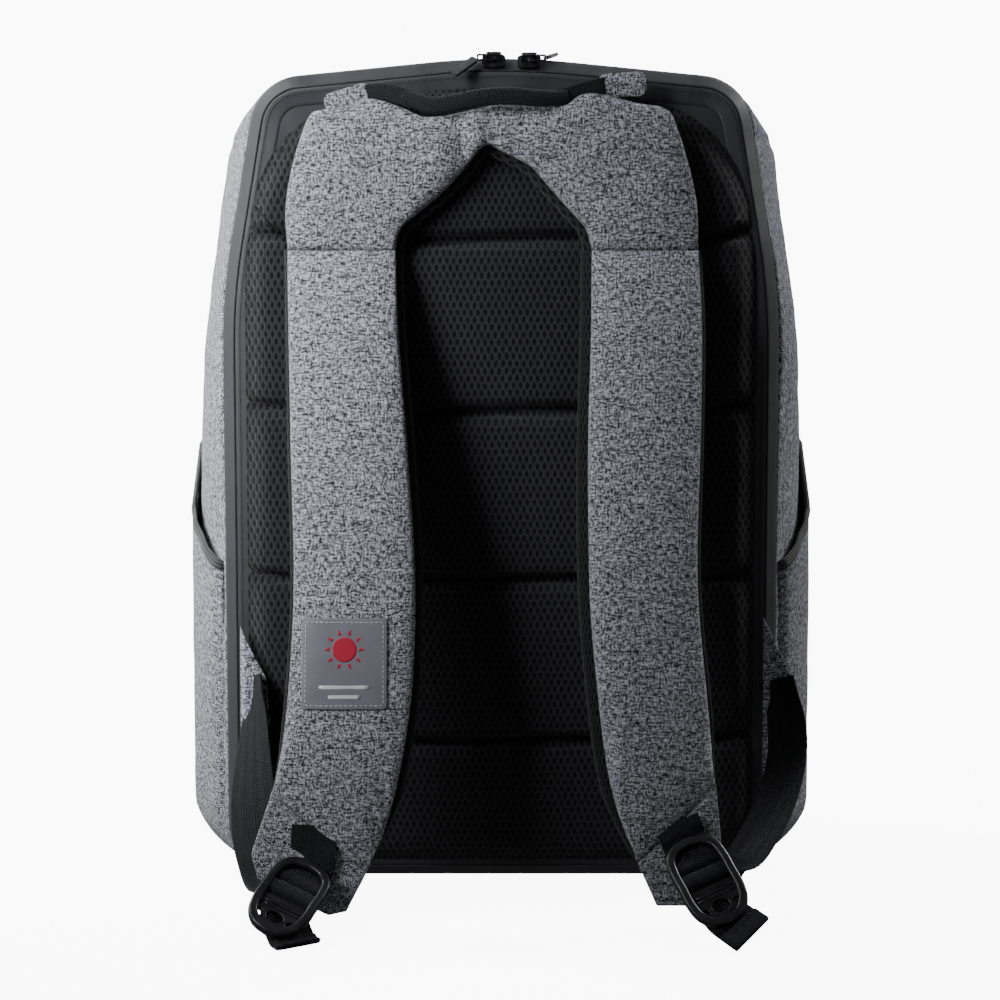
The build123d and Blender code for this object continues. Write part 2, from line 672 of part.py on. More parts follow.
def zip_plane(x):
    """Plane on the bevelled strip at the top of the bag, with its x axis along the zip."""
    height = RIM[2] - APEX_RADIUS * (1 / cos(atan(TOP_SLOPE)) - 1) - x * x / (2 * APEX_RADIUS)
    return Plane(
        (x, BACK_Y + STRIP_WIDTH / 2, height - STRIP_WIDTH / 2), x_dir=(1, 0, 0), z_dir=(0, -1, 1),
    )


pin_height = SLIDER_LIFT + SLIDER_PLATE + CROWN_SIZE[1] / 2 - CROWN_SINK
for side, (way, hang) in PULLS.items():
    slider_plane = zip_plane(SLIDER_X[side])
    with BuildPart() as zip_slider:
        slider_body(slider_plane)
    save(zip_slider, f"zip_slider_{side}")

    link_plane = slider_plane.offset(pin_height)
    with BuildPart() as zip_link:
        with BuildSketch(link_plane):
            with Locations((way * (LINK_SIZE[0] - LINK_WIRE) / 2, 0)):
                RectangleRounded(*LINK_SIZE, LINK_CORNER)
                Rectangle(LINK_SIZE[0] - 2 * LINK_WIRE, LINK_SIZE[1] - 2 * LINK_WIRE, mode=Mode.SUBTRACT)
        extrude(amount=LINK_WIRE / 2, both=True)
    save(zip_link, f"zip_link_{side}")

    link_end = link_plane.from_local_coords((way * (LINK_SIZE[0] - LINK_WIRE), 0, 0))
    hang_way = Vector(*hang).normalized()
    flat = hang_way.cross(link_plane.y_dir).cross(hang_way) if side == "right" else link_plane.z_dir
    with BuildPart() as zip_tab:
        tab_normal = (flat - hang_way * flat.dot(hang_way)).normalized()
        with BuildSketch(Plane(link_end, x_dir=hang_way, z_dir=tab_normal)):
            with Locations((PULL_TAB[0] / 2 + TAB_START, 0)):
                RectangleRounded(*PULL_TAB, PULL_CORNER)
        extrude(amount=LINK_WIRE, both=True)
    save(zip_tab, f"zip_tab_{side}")

# ---------------------------------------------------------------- solar module
def front_block(size, centre, low, high, radius=0.0, mode=Mode.ADD):
    """Block standing on the front face, between two heights above that face."""
    with BuildPart() as block:
        with BuildSketch(Plane.XZ.offset(-(BACK_Y + FRONT_DEPTH + high))):
            with Locations(centre):
                if radius:
                    RectangleRounded(*size, radius)
                else:
                    Rectangle(*size)
        extrude(amount=high - low)
    add(block.part, mode=mode)


with BuildPart() as solar_border:
    front_block(BORDER_SIZE, (0, MODULE_CENTRE_Z), 0, SKIN, BORDER_CORNER)
save(solar_border, "solar_border")

with BuildPart() as solar_laminate:
    front_block(LAMINATE_SIZE, (0, MODULE_CENTRE_Z), SKIN, SKIN + LAMINATE_THICKNESS, LAMINATE_CORNER)
save(solar_laminate, "solar_laminate")

with BuildPart() as solar_cells:
    cell_face = SKIN + LAMINATE_THICKNESS
    for x in (-1, 1):
        for row in range(CELL_ROWS):
            z = MODULE_CENTRE_Z + (row - (CELL_ROWS - 1) / 2) * (CELL_SIZE[1] + CELL_GAP)
            front_block(
                CELL_SIZE, (x * (CELL_SIZE[0] + CELL_GAP) / 2, z), cell_face, cell_face + CELL_THICKNESS,
            )
save(solar_cells, "solar_cells")

with BuildPart() as junction_box:
    front_block(BOX_SIZE, BOX_CENTRE, -WALL - BOX_DEPTH, -WALL, BOX_CORNER)
    hollow = [size - 2 * BOX_WALL for size in BOX_SIZE]
    front_block(
        hollow, BOX_CENTRE, -WALL - BOX_DEPTH, -WALL - BOX_WALL, BOX_CORNER - BOX_WALL,
        mode=Mode.SUBTRACT,
    )
save(junction_box, "junction_box")

with BuildPart() as junction_box_lid:
    lid_inner = -WALL - BOX_DEPTH
    front_block(BOX_SIZE, BOX_CENTRE, lid_inner - LID_THICKNESS, lid_inner, BOX_CORNER)
save(junction_box_lid, "junction_box_lid")

# ---------------------------------------------------------------- USB port and the module's lead
def port_slab(x_range, size, mode=Mode.ADD):
    """Block across the USB port between two X values; its size is along Y and Z."""
    slab(
        x_range, (PORT_DEPTH - size[0] / 2, PORT_DEPTH + size[0] / 2),
        (PORT_Z - size[1] / 2, PORT_Z + size[1] / 2), mode=mode,
    )


with BuildPart() as usb_housing:
    port_slab((port_x - PORT_BACK, PORT_FACE_X), PORT_SIZE)
    port_slab((PORT_FACE_X - SOCKET_DEPTH, port_x), SOCKET_SIZE, mode=Mode.SUBTRACT)
save(usb_housing, "usb_housing")

with BuildPart() as usb_socket:
    port_slab((PORT_FACE_X - SOCKET_DEPTH, PORT_FACE_X), SOCKET_SIZE)
    inside = [size - 2 * SOCKET_WALL for size in SOCKET_SIZE]
    port_slab((PORT_FACE_X - SOCKET_DEPTH + CUT, port_x), inside, mode=Mode.SUBTRACT)
save(usb_socket, "usb_socket")

with BuildPart() as usb_cover:
    port_slab((PORT_FACE_X + COVER_GAP, PORT_FACE_X + COVER_GAP + COVER_THICKNESS), COVER_SIZE)
    fillet(usb_cover.edges().filter_by(Axis.X), COVER_CORNER)
save(usb_cover, "usb_cover")

lead_depth = FRONT_INNER - BOX_DEPTH / 2
LEAD_ROUTE = (
    (BOX_CENTRE[0] + BOX_SIZE[0] / 2, lead_depth, BOX_CENTRE[1]),
    (113.0, lead_depth - 2, BOX_CENTRE[1] - 2),
    (131.0, 134.0, 313.0),
    (142.0, PORT_DEPTH + 1, PORT_Z + 1),
    (port_x - PORT_BACK, PORT_DEPTH, PORT_Z),
)
lead_points = [Vector(x, BACK_Y + depth, z) for x, depth, z in LEAD_ROUTE]
lead_radii = []
for before, corner, after in zip(lead_points, lead_points[1:], lead_points[2:]):
    turn = (corner - before).get_angle(after - corner)
    shorter = min((corner - before).length, (after - corner).length)
    lead_radii.append(BEND_SHARE * shorter / tan(radians(turn) / 2))
print("lead radii", [round(radius, 1) for radius in lead_radii])
with BuildPart() as panel_lead:
    with BuildLine():
        lead_line = FilletPolyline(*lead_points, radius=lead_radii)
    with BuildSketch(Plane(lead_line @ 0, z_dir=lead_line % 0)):
        Circle(LEAD_RADIUS)
    sweep()
save(panel_lead, "panel_lead")

# ---------------------------------------------------------------- front pocket zip
with BuildPart() as front_zip_track:
    front_block(FRONT_ZIP_SIZE, (0, FRONT_ZIP_Z), 0, SKIN, FRONT_ZIP_CORNER)
save(front_zip_track, "front_zip_track")

front_slider_plane = Plane(
    (FRONT_SLIDER_X, BACK_Y + FRONT_DEPTH + SKIN - SLIDER_LIFT + JOINT_GAP, FRONT_ZIP_Z),
    x_dir=(1, 0, 0), z_dir=(0, 1, 0),
)
with BuildPart() as front_zip_slider:
    slider_body(front_slider_plane)
save(front_zip_slider, "front_zip_slider")

with BuildPart() as front_zip_pull:
    front_block(
        FRONT_PULL, (FRONT_SLIDER_X, FRONT_ZIP_Z - SLIDER_SIZE[1] / 2 - FRONT_PULL[1] / 2),
        *FRONT_PULL_HEIGHTS, PULL_CORNER,
    )
save(front_zip_pull, "front_zip_pull")
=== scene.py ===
import math

import bmesh
import bpy
import numpy as np
from mathutils import Matrix, Vector
from mathutils.bvhtree import BVHTree


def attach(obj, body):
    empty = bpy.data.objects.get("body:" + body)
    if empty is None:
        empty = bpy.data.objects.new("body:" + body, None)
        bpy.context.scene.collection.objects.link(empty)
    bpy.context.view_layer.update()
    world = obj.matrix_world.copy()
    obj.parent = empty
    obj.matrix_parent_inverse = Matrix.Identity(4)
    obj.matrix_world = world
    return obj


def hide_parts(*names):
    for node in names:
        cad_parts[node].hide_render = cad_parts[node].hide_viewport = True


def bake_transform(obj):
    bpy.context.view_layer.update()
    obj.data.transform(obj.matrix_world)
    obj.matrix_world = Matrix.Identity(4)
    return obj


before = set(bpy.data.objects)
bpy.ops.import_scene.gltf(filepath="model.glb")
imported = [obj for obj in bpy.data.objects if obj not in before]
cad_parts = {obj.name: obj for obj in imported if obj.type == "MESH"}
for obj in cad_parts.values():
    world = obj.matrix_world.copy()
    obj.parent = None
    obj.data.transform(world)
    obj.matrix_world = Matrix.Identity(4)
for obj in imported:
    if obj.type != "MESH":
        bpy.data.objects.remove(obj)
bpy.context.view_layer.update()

# A solar backpack standing on its base. Lengths are in millimetres until a mesh is built, in metres.
# The frame is the CAD's: +Z up, the harness faces -Y, and a depth is measured from the back panel
# towards +Y. Left (-X) and right (+X) are as seen from the harness.
MM = 0.001

# ---------------------------------------------------------------- driving dimensions
BACK_Y = -80.0
RIM_DEPTH, BELLY_DEPTH, SEAM_DEPTH = 7.0, 45.0, 100.0
POCKET_START, POCKET_MIDDLE_DEPTH, FRONT_DEPTH = 102.0, 138.0, 158.0
TOP_SLOPE = 0.098
# half width, shoulder half width, top, waist height, shoulder radius, foot radius
RIM = (155.5, 135.0, 462.0, 330.0, 30.0, 30.0)
MESH_SHAPE = (152.6, 137.6, 456.0, 355.0, 82.0, 44.0)
BELLY = (172.0, 150.0, 455.0, 295.0, 40.0, 36.0)
SEAM = (169.0, 150.0, 449.0, 295.0, 40.0, 38.0)
POCKET_ROOT = (165.0, 147.0, 438.0, 290.0, 40.0, 38.0)
POCKET_MIDDLE = (159.0, 139.0, 428.0, 285.0, 42.0, 40.0)
POCKET_FRONT = (142.0, 122.0, 408.0, 280.0, 44.0, 44.0)
APEX_RADIUS, WAIST_RADIUS = 400.0, 350.0
BASE_SPLIT_Z, TOP_SPLIT_Z = 26.0, 415.0
MAIN_LOFT = (RIM, BELLY, SEAM), (RIM_DEPTH, BELLY_DEPTH, SEAM_DEPTH)
POCKET_LOFT = (POCKET_ROOT, POCKET_MIDDLE, POCKET_FRONT), (POCKET_START, POCKET_MIDDLE_DEPTH, FRONT_DEPTH)
SHELL_WALL = 2.2

BORDER_INSET, BORDER_WIDTH = 7.4, 10.6
MESH_INSET = 10.0
PAD_FRONT = 12.0
CHANNELS = (79.5, 171.0, 266.0, 361.0)

SEAM_Z = 355.0
YOKE_THICKNESS = 13.5
YOKE_FRONT = PAD_FRONT + YOKE_THICKNESS
STRAP_THICKNESS = 9.0
STRAP_FOOT = (100.0, 5.0)
STRAP_SAG = 14.0
STRAP_ROWS = 130
WEBBING_WIDTH, WEBBING = 25.0, 1.6


# ---------------------------------------------------------------- curves and outlines
def smooth(points, count):
    """count points along a smooth line through the given points."""
    p = np.asarray(points, float)
    knots = run_length(p)
    slopes = np.gradient(p, knots, axis=0)
    t = np.linspace(0, knots[-1], count)
    i = np.clip(np.searchsorted(knots, t, side="right") - 1, 0, len(p) - 2)
    h = (knots[i + 1] - knots[i])[:, None]
    s = (t - knots[i])[:, None] / h
    return (
        (2 * s**3 - 3 * s**2 + 1) * p[i] + (s**3 - 2 * s**2 + s) * h * slopes[i]
        + (3 * s**2 - 2 * s**3) * p[i + 1] + (s**3 - s**2) * h * slopes[i + 1]
    )


def run_length(points):
    """Distance from the first point to each point of a polyline."""
    steps = np.linalg.norm(np.diff(points, axis=0), axis=1)
    return np.concatenate([[0], np.cumsum(steps)])


def evenly(points, count):
    """count points evenly spaced along a polyline."""
    p = np.asarray(points, float)
    lengths = run_length(p)
    t = np.linspace(0, lengths[-1], count)
    return np.stack([np.interp(t, lengths, axis) for axis in p.T], axis=1)


ARC_STEPS = 13
EDGE_STEPS = (74, 70, 26, 30, 30, 26, 70)    # base, side, taper, top, top, taper, side


def bag_outline(shape, inset=0.0):
    """Front-on outline of the bag, anticlockwise from its left foot; it ends where it starts."""
    half, shoulder, top, waist, shoulder_radius, foot_radius = shape
    shoulder_z = top - TOP_SLOPE * shoulder
    corner = np.array([
        (-half, 0), (half, 0), (half, waist), (shoulder, shoulder_z), (0, top),
        (-shoulder, shoulder_z), (-half, waist),
    ], float)
    radius = (foot_radius, foot_radius, WAIST_RADIUS, shoulder_radius, APEX_RADIUS)
    radius += (shoulder_radius, WAIST_RADIUS)
    way = np.roll(corner, -1, axis=0) - corner
    way /= np.linalg.norm(way, axis=1)[:, None]
    inward = np.stack([-way[:, 1], way[:, 0]], axis=1)
    arcs = []
    for i, r in enumerate(radius):
        before, after = inward[i - 1], inward[i]
        centre = corner[i] + r * (before + after) / (1 + before @ after)
        turn = math.acos(max(-1.0, min(1.0, before @ after)))
        angles = math.atan2(-before[1], -before[0]) + np.linspace(0, turn, ARC_STEPS)
        arcs.append(centre + (r - inset) * heading(angles))
    line = []
    for i, arc in enumerate(arcs):
        share = np.linspace(0, 1, EDGE_STEPS[i])[1:-1, None]
        line += [arc, arc[-1] + (arcs[(i + 1) % len(arcs)][0] - arc[-1]) * share]
    return np.vstack([*line, arcs[0][:1]])


def at_depth(outline, depth):
    """Front-on (x, z) points placed at a depth, one number or one for each point."""
    return spots(outline[:, 0], BACK_Y + depth, outline[:, 1])


def spots(x, y, z):
    """Points from their coordinates, each of them an array or one number."""
    return np.stack(np.broadcast_arrays(x, y, z), axis=-1)


def blended(values, depths, depth):
    """A value at any depth of a curve through three values at three depths."""
    a, b, c = depths
    weights = (
        (depth - b) * (depth - c) / ((a - b) * (a - c)),
        (depth - a) * (depth - c) / ((b - a) * (b - c)),
        (depth - a) * (depth - b) / ((c - a) * (c - b)),
    )
    return sum(w * v for w, v in zip(weights, values))


def ring(loft, depth, inset=0.0):
    """The bag's outline at any depth of a loft through three shapes."""
    shapes, depths = loft
    return at_depth(blended([bag_outline(s, inset) for s in shapes], depths, depth), depth)


def ripple(points, size, seed):
    """Smooth unevenness between about -1 and 1, with bumps of roughly the given size."""
    random = np.random.default_rng(seed)
    p = np.asarray(points, float)
    total = np.zeros(p.shape[:-1])
    for _ in range(9):
        direction = random.normal(size=3)
        direction /= np.linalg.norm(direction)
        pitch = size * random.uniform(0.7, 1.8)
        total += np.sin(p @ direction * 2 * math.pi / pitch + random.uniform(0, 2 * math.pi))
    return total / 4


def heading(angle):
    """Unit vectors in a plane at the given angles."""
    return np.stack([np.cos(angle), np.sin(angle)], axis=1)


def flat_ripple(x, z, size, seed):
    """The same unevenness over a plane."""
    return ripple(spots(x, z, 0.0), size, seed)


def bump_at(value, centre, width):
    """A smooth bump of height 1 about centre."""
    return np.exp(-(((value - centre) / width) ** 2))


# ---------------------------------------------------------------- materials
CLOTH_UV = "cloth"    # each woven piece's map of its own flat cloth, in metres
CLOTH_ORIGIN = 200    # how far to the left of the bag's middle a flat cloth's map begins


def feed(tree, socket, value):
    """Links a socket, or sets a number or colour on it."""
    if isinstance(value, bpy.types.NodeSocket):
        tree.links.new(value, socket)
    elif hasattr(value, "__len__") and len(value) == 3 and socket.type == "RGBA":
        socket.default_value = (*value, 1)
    else:
        socket.default_value = value


class Finish:
    """A material under construction: short calls that add its nodes."""

    def __init__(self, name, **settings):
        self.material = bpy.data.materials.new(name)
        self.material.use_nodes = True
        self.tree = self.material.node_tree
        self.shader = self.tree.nodes["Principled BSDF"]
        for socket, value in settings.items():
            self.set(socket.replace("_", " "), value)

    def set(self, socket, value):
        feed(self.tree, self.shader.inputs[socket], value)

    def node(self, kind, output=0, inputs=(), **properties):
        node = self.tree.nodes.new("ShaderNode" + kind)
        for key, value in properties.items():
            setattr(node, key, value)
        for key, value in dict(inputs).items():
            feed(self.tree, node.inputs[key], value)
        return node.outputs[output]

    def math(self, operation, a, b=0.0):
        return self.node("Math", operation=operation, inputs={0: a, 1: b})

    def plus(self, a, b):
        return self.math("ADD", a, b)

    def times(self, a, b):
        return self.math("MULTIPLY", a, b)

    def centred(self, value):
        """Place within each whole step, from -0.5 to 0.5."""
        return self.math("SUBTRACT", self.math("FRACT", value), 0.5)

    def cloth(self, across=1000.0, along=1000.0):
        """The piece's cloth map, scaled to patterns per metre."""
        uv = self.node("UVMap", uv_map=CLOTH_UV)
        return self.node("Mapping", inputs={"Vector": uv, "Scale": (across, along, 1)})

    def solid(self, x=1000.0, y=1000.0, z=1000.0):
        """Coordinates of the piece itself, scaled to patterns per metre."""
        place = self.node("TexCoord", output=3)
        return self.node("Mapping", inputs={"Vector": place, "Scale": (x, y, z)})

    def noise(self, vector, scale=1.0, detail=2.0, rough=0.5):
        inputs = {"Vector": vector, "Scale": scale, "Detail": detail, "Roughness": rough}
        return self.node("TexNoise", inputs=inputs)

    def axis(self, vector, name):
        return self.node("SeparateXYZ", output=name, inputs={0: vector})

    def sine(self, value, turns):
        """Sine wave with the given number of turns per unit."""
        return self.math("SINE", self.times(value, 2 * math.pi * turns))

    def range(self, value, low, high, out_low=0.0, out_high=1.0):
        inputs = {0: value, 1: low, 2: high, 3: out_low, 4: out_high}
        return self.node("MapRange", inputs=inputs)

    def mix(self, factor, a, b):
        node = self.tree.nodes.new("ShaderNodeMix")
        node.data_type = "RGBA"
        for index, value in ((0, factor), (6, a), (7, b)):
            feed(self.tree, node.inputs[index], value)
        return node.outputs[2]

    def colour(self, factor, a, b):
        self.set("Base Color", self.mix(factor, a, b))

    def bump(self, height, distance, strength=1.0):
        inputs = {"Height": height, "Distance": distance * MM, "Strength": strength}
        self.set("Normal", self.node("Bump", inputs=inputs))


def scaled(tint, factor):
    """A colour made darker or lighter."""
    return tuple(min(1.0, factor * c) for c in tint)


def heather_fabric():
    """Melange plain weave: light and dark slubby yarns in both directions."""
    f = Finish("heather_fabric", Roughness=0.88, Sheen_Weight=0.15, Sheen_Roughness=0.5,
               Specular_IOR_Level=0.2)
    yarn = 0.68    # yarns per millimetre, halved: one over and one under
    flat = f.cloth()
    u, v = f.axis(flat, 0), f.axis(flat, 1)
    over = f.times(f.sine(u, yarn), f.sine(v, yarn))
    warp, weft = f.noise(f.cloth(1000, 330)), f.noise(f.cloth(330, 1000))
    yarn_tone = f.mix(f.range(over, -0.2, 0.2), warp, weft)
    fleck = f.noise(flat, 1.3, 1.0)
    slub = f.noise(f.cloth(60, 260))
    tone = f.times(f.axis(yarn_tone, 0), 0.72)
    for part, weight in ((fleck, 0.18), (slub, 0.1), (over, 0.035)):
        tone = f.plus(tone, f.times(part, weight))
    level = f.math("POWER", f.range(tone, 0.435, 0.59), 1.25)
    f.colour(level, (0.016, 0.017, 0.022), (0.60, 0.605, 0.69))
    f.bump(f.plus(f.math("ABSOLUTE", over), f.times(level, 0.6)), 0.25, 0.6)
    return f.material


def air_mesh():
    """Spacer mesh: staggered oval holes in a knitted net."""
    f = Finish("air_mesh", Roughness=0.8, Sheen_Weight=0.12, Sheen_Roughness=0.4,
               Specular_IOR_Level=0.25)
    across, along = 3.85, 4.05    # spacing of the holes
    squash = 1.85
    flat = f.cloth()
    wander = f.noise(flat, 0.05, 1.0)
    u = f.plus(f.axis(flat, 0), f.times(wander, 1.6))
    v = f.plus(f.axis(flat, 1), f.times(wander, 2.0))
    row = f.math("DIVIDE", v, along)
    shift = f.times(f.math("FLOORED_MODULO", f.math("FLOOR", row), 2.0), 0.5)
    column = f.plus(f.math("DIVIDE", u, across), shift)
    cell_u = f.times(f.centred(column), across)
    cell_v = f.times(f.centred(row), along / squash)
    reach = f.math("SQRT", f.plus(f.times(cell_u, cell_u), f.times(cell_v, cell_v)))
    net = f.range(reach, 0.78, 1.2)
    knit = f.times(f.sine(u, 1.7), f.sine(v, 1.9))
    shade = f.mix(f.noise(flat, 0.6, 2.0), (0.010, 0.0105, 0.013), (0.036, 0.037, 0.044))
    # painted shade: the holes, which the bump sinks, are painted near-black for the shade inside them;
    # the net keeps its random tone
    f.colour(net, (0.0025, 0.0025, 0.003), shade)
    f.bump(f.plus(net, f.times(knit, 0.12)), 0.9, 0.9)
    return f.material


def coated_fabric(name="coated_fabric", tint=(0.022, 0.0228, 0.029)):
    """Smooth coated tape with a fine rib and faint creases."""
    f = Finish(name, Roughness=0.55, Sheen_Weight=0.1)
    flat = f.cloth()
    cloud = f.noise(f.cloth(60, 60), 1.0, 3.0)
    f.colour(cloud, scaled(tint, 0.7), scaled(tint, 1.5))
    rib = f.sine(f.plus(f.axis(flat, 0), f.axis(flat, 1)), 1.4)
    crease = f.noise(f.cloth(240, 30), 1.0, 3.0)
    f.set("Roughness", f.range(cloud, 0.3, 0.7, 0.48, 0.66))
    f.bump(f.plus(f.times(rib, 0.12), crease), 0.5, 0.5)
    return f.material


def webbing_tape():
    """Woven polyester webbing: ribs across the tape and a firm woven edge."""
    f = Finish("webbing", Roughness=0.8, Sheen_Weight=0.05, Sheen_Roughness=0.35,
               Specular_IOR_Level=0.25)
    flat = f.cloth()
    u, v = f.axis(flat, 0), f.axis(flat, 1)
    chevron = f.math("ABSOLUTE", f.centred(f.math("DIVIDE", u, 6.2)))
    rib = f.sine(f.plus(v, f.times(chevron, 3.0)), 0.75)
    cord = f.sine(u, 0.66)
    height = f.plus(rib, f.times(cord, 0.5))
    fuzz = f.noise(flat, 1.4, 2.0)
    # painted shade: the colour darkens in the valleys of the ribs, where the bump sinks, on top of random
    # fuzz
    shade = f.plus(f.range(height, -1.4, 1.4, 0.0, 0.7), f.times(fuzz, 0.4))
    f.colour(shade, (0.003, 0.003, 0.004), (0.024, 0.025, 0.032))
    f.bump(height, 0.3, 0.8)
    return f.material


def lining_fabric():
    """Thin polyester lining with a small ripstop grid."""
    f = Finish("lining_fabric", Roughness=0.6, Sheen_Weight=0.15)
    flat = f.cloth()
    grid = f.math("MAXIMUM", f.sine(f.axis(flat, 0), 0.2), f.sine(f.axis(flat, 1), 0.2))
    line = f.range(grid, 0.93, 0.99)
    shade = f.mix(f.noise(flat, 0.8, 2.0), (0.028, 0.029, 0.033), (0.06, 0.062, 0.07))
    f.colour(line, shade, (0.09, 0.092, 0.1))
    f.bump(f.plus(line, f.noise(f.cloth(35, 35), 1.0, 3.0)), 0.4, 0.6)
    return f.material


def elastic_tape():
    """Ribbed elastic, darker in the gathers from painted shade."""
    f = Finish("elastic", Roughness=0.6, Sheen_Weight=0.15)
    flat = f.cloth()
    rib = f.sine(f.axis(flat, 0), 0.5)
    cord = f.sine(f.axis(flat, 1), 0.9)
    height = f.plus(rib, f.times(cord, 0.4))
    # painted shade: the colour darkens where the ribs and gathers sink, as the bump does
    f.colour(f.range(height, -1.2, 1.2), (0.012, 0.012, 0.014), (0.07, 0.07, 0.075))
    f.bump(height, 0.4, 0.8)
    return f.material


def thread(name, tint):
    """Twisted sewing thread."""
    f = Finish(name, Roughness=0.5, Sheen_Weight=0.2)
    twist = f.sine(f.axis(f.solid(700, 700, 700), 0), 1.0)
    # painted shade: the colour darkens in the grooves of the twist, where the bump sinks
    f.colour(f.range(twist, -1, 1), scaled(tint, 0.6), tint)
    f.bump(twist, 0.1, 0.5)
    return f.material


def moulded(name, tint, roughness=0.36, grain=1.0):
    """Moulded plastic or rubber: fine texture, slight scuffing."""
    f = Finish(name, Roughness=roughness)
    place = f.solid()
    cloud = f.noise(place, 0.12, 4.0)
    f.colour(f.range(cloud, 0.35, 0.65), scaled(tint, 0.75), scaled(tint, 1.3))
    f.set("Roughness", f.range(cloud, 0.3, 0.7, roughness - 0.08, roughness + 0.12))
    f.bump(f.noise(place, 2.2, 2.0), 0.08 * grain, 0.6)
    return f.material


def plated_metal(name, tint, roughness=0.28):
    """Plated die-cast metal with rubbed patches."""
    f = Finish(name, Metallic=0.9, Roughness=roughness)
    place = f.solid()
    wear = f.noise(place, 0.25, 5.0, 0.6)
    f.colour(f.range(wear, 0.45, 0.7), tint, scaled(tint, 2.2))
    f.set("Roughness", f.range(wear, 0.3, 0.7, roughness, roughness + 0.2))
    f.bump(f.noise(place, 1.5, 2.0), 0.04, 0.5)
    return f.material


def woven_label(name, tint):
    """Label cloth with a fine diagonal weave and a soft sheen."""
    f = Finish(name, Roughness=0.45, Sheen_Weight=0.4, Sheen_Roughness=0.3)
    flat = f.cloth()
    twill = f.sine(f.plus(f.axis(flat, 0), f.axis(flat, 1)), 1.1)
    cloud = f.noise(f.cloth(90, 90), 1.0, 3.0)
    # painted shade: the colour darkens in the grooves of the twill, where the bump sinks, on top of a
    # random cloud
    shade = f.plus(f.range(twill, -1, 1, 0.0, 0.4), f.times(cloud, 0.6))
    f.colour(shade, scaled(tint, 0.72), scaled(tint, 1.25))
    f.bump(twill, 0.08, 0.5)
    return f.material


def solar_cell():
    """Dark blue mono cells with contact fingers and bus bars."""
    f = Finish("solar_cell", Roughness=0.25, Coat_Weight=0.6, Coat_Roughness=0.12)
    place = f.solid()
    x, z = f.axis(place, 0), f.axis(place, 2)
    finger = f.range(f.sine(z, 0.5), 0.94, 0.99)
    bus = f.range(f.sine(f.plus(x, 2.0), 1 / 23.5), 0.992, 0.997)
    crystal = f.mix(f.noise(place, 0.06, 3.0), (0.004, 0.007, 0.02), (0.010, 0.020, 0.060))
    lines = f.math("MAXIMUM", f.times(finger, 0.35), bus)
    f.colour(lines, crystal, (0.45, 0.46, 0.48))
    f.set("Roughness", f.range(lines, 0.0, 1.0, 0.22, 0.4))
    f.bump(lines, 0.05, 0.5)
    return f.material


def solar_front():
    """Dimpled clear polymer over a black backing."""
    f = Finish("solar_front", Roughness=0.3, Coat_Weight=0.5, Coat_Roughness=0.2)
    place = f.solid()
    dimple = f.times(f.sine(f.axis(place, 0), 0.8), f.sine(f.axis(place, 2), 0.8))
    f.colour(f.noise(place, 0.15, 3.0), (0.006, 0.006, 0.008), (0.018, 0.018, 0.022))
    f.bump(dimple, 0.08, 0.6)
    return f.material


FINISHES = {
    "heather_fabric": heather_fabric(),
    "coated_fabric": coated_fabric(),
    "air_mesh": air_mesh(),
    "lining_fabric": lining_fabric(),
    "webbing": webbing_tape(),
    "elastic": elastic_tape(),
    "label": woven_label("label", (0.17, 0.172, 0.205)),
    "label_red": woven_label("label_red", (0.42, 0.012, 0.04)),
    "label_white": woven_label("label_white", (0.62, 0.62, 0.66)),
    "grey_thread": thread("grey_thread", (0.22, 0.22, 0.25)),
    "dark_thread": thread("dark_thread", (0.03, 0.03, 0.034)),
    "buckle_plastic": moulded("buckle_plastic", (0.014, 0.014, 0.017), 0.3),
    "zip_coil": moulded("zip_coil", (0.012, 0.012, 0.014), 0.4),
    "zip_metal": plated_metal("zip_metal", (0.05, 0.05, 0.055)),
    "pull_rubber": moulded("pull_rubber", (0.06, 0.063, 0.068), 0.42, 2.0),
    "solar_front": solar_front(),
    "solar_cell": solar_cell(),
    "module_border": coated_fabric("module_border", (0.03, 0.03, 0.034)),
    "box_plastic": moulded("box_plastic", (0.02, 0.02, 0.022), 0.45),
    "lead_sheath": moulded("lead_sheath", (0.016, 0.016, 0.018), 0.5),
    "usb_metal": plated_metal("usb_metal", (0.5, 0.5, 0.52), 0.22),
    "port_rubber": moulded("port_rubber", (0.02, 0.02, 0.022), 0.6),
}


# ---------------------------------------------------------------- mesh building
def linked(name, data):
    """A new object in the scene."""
    made = bpy.data.objects.new(name, data)
    bpy.context.scene.collection.objects.link(made)
    return made


def grid_faces(rows, columns, first=0):
    """Quads between neighbouring points of a grid that is numbered row by row."""
    index = first + np.arange(rows * columns).reshape(rows, columns)
    corners = index[:-1, :-1], index[:-1, 1:], index[1:, 1:], index[1:, :-1]
    return np.stack(corners, axis=2).reshape(-1, 4)


def spread(across, along):
    """Places on the flat cloth for a grid with the given columns and rows."""
    return np.stack(np.meshgrid(across, along), axis=2)


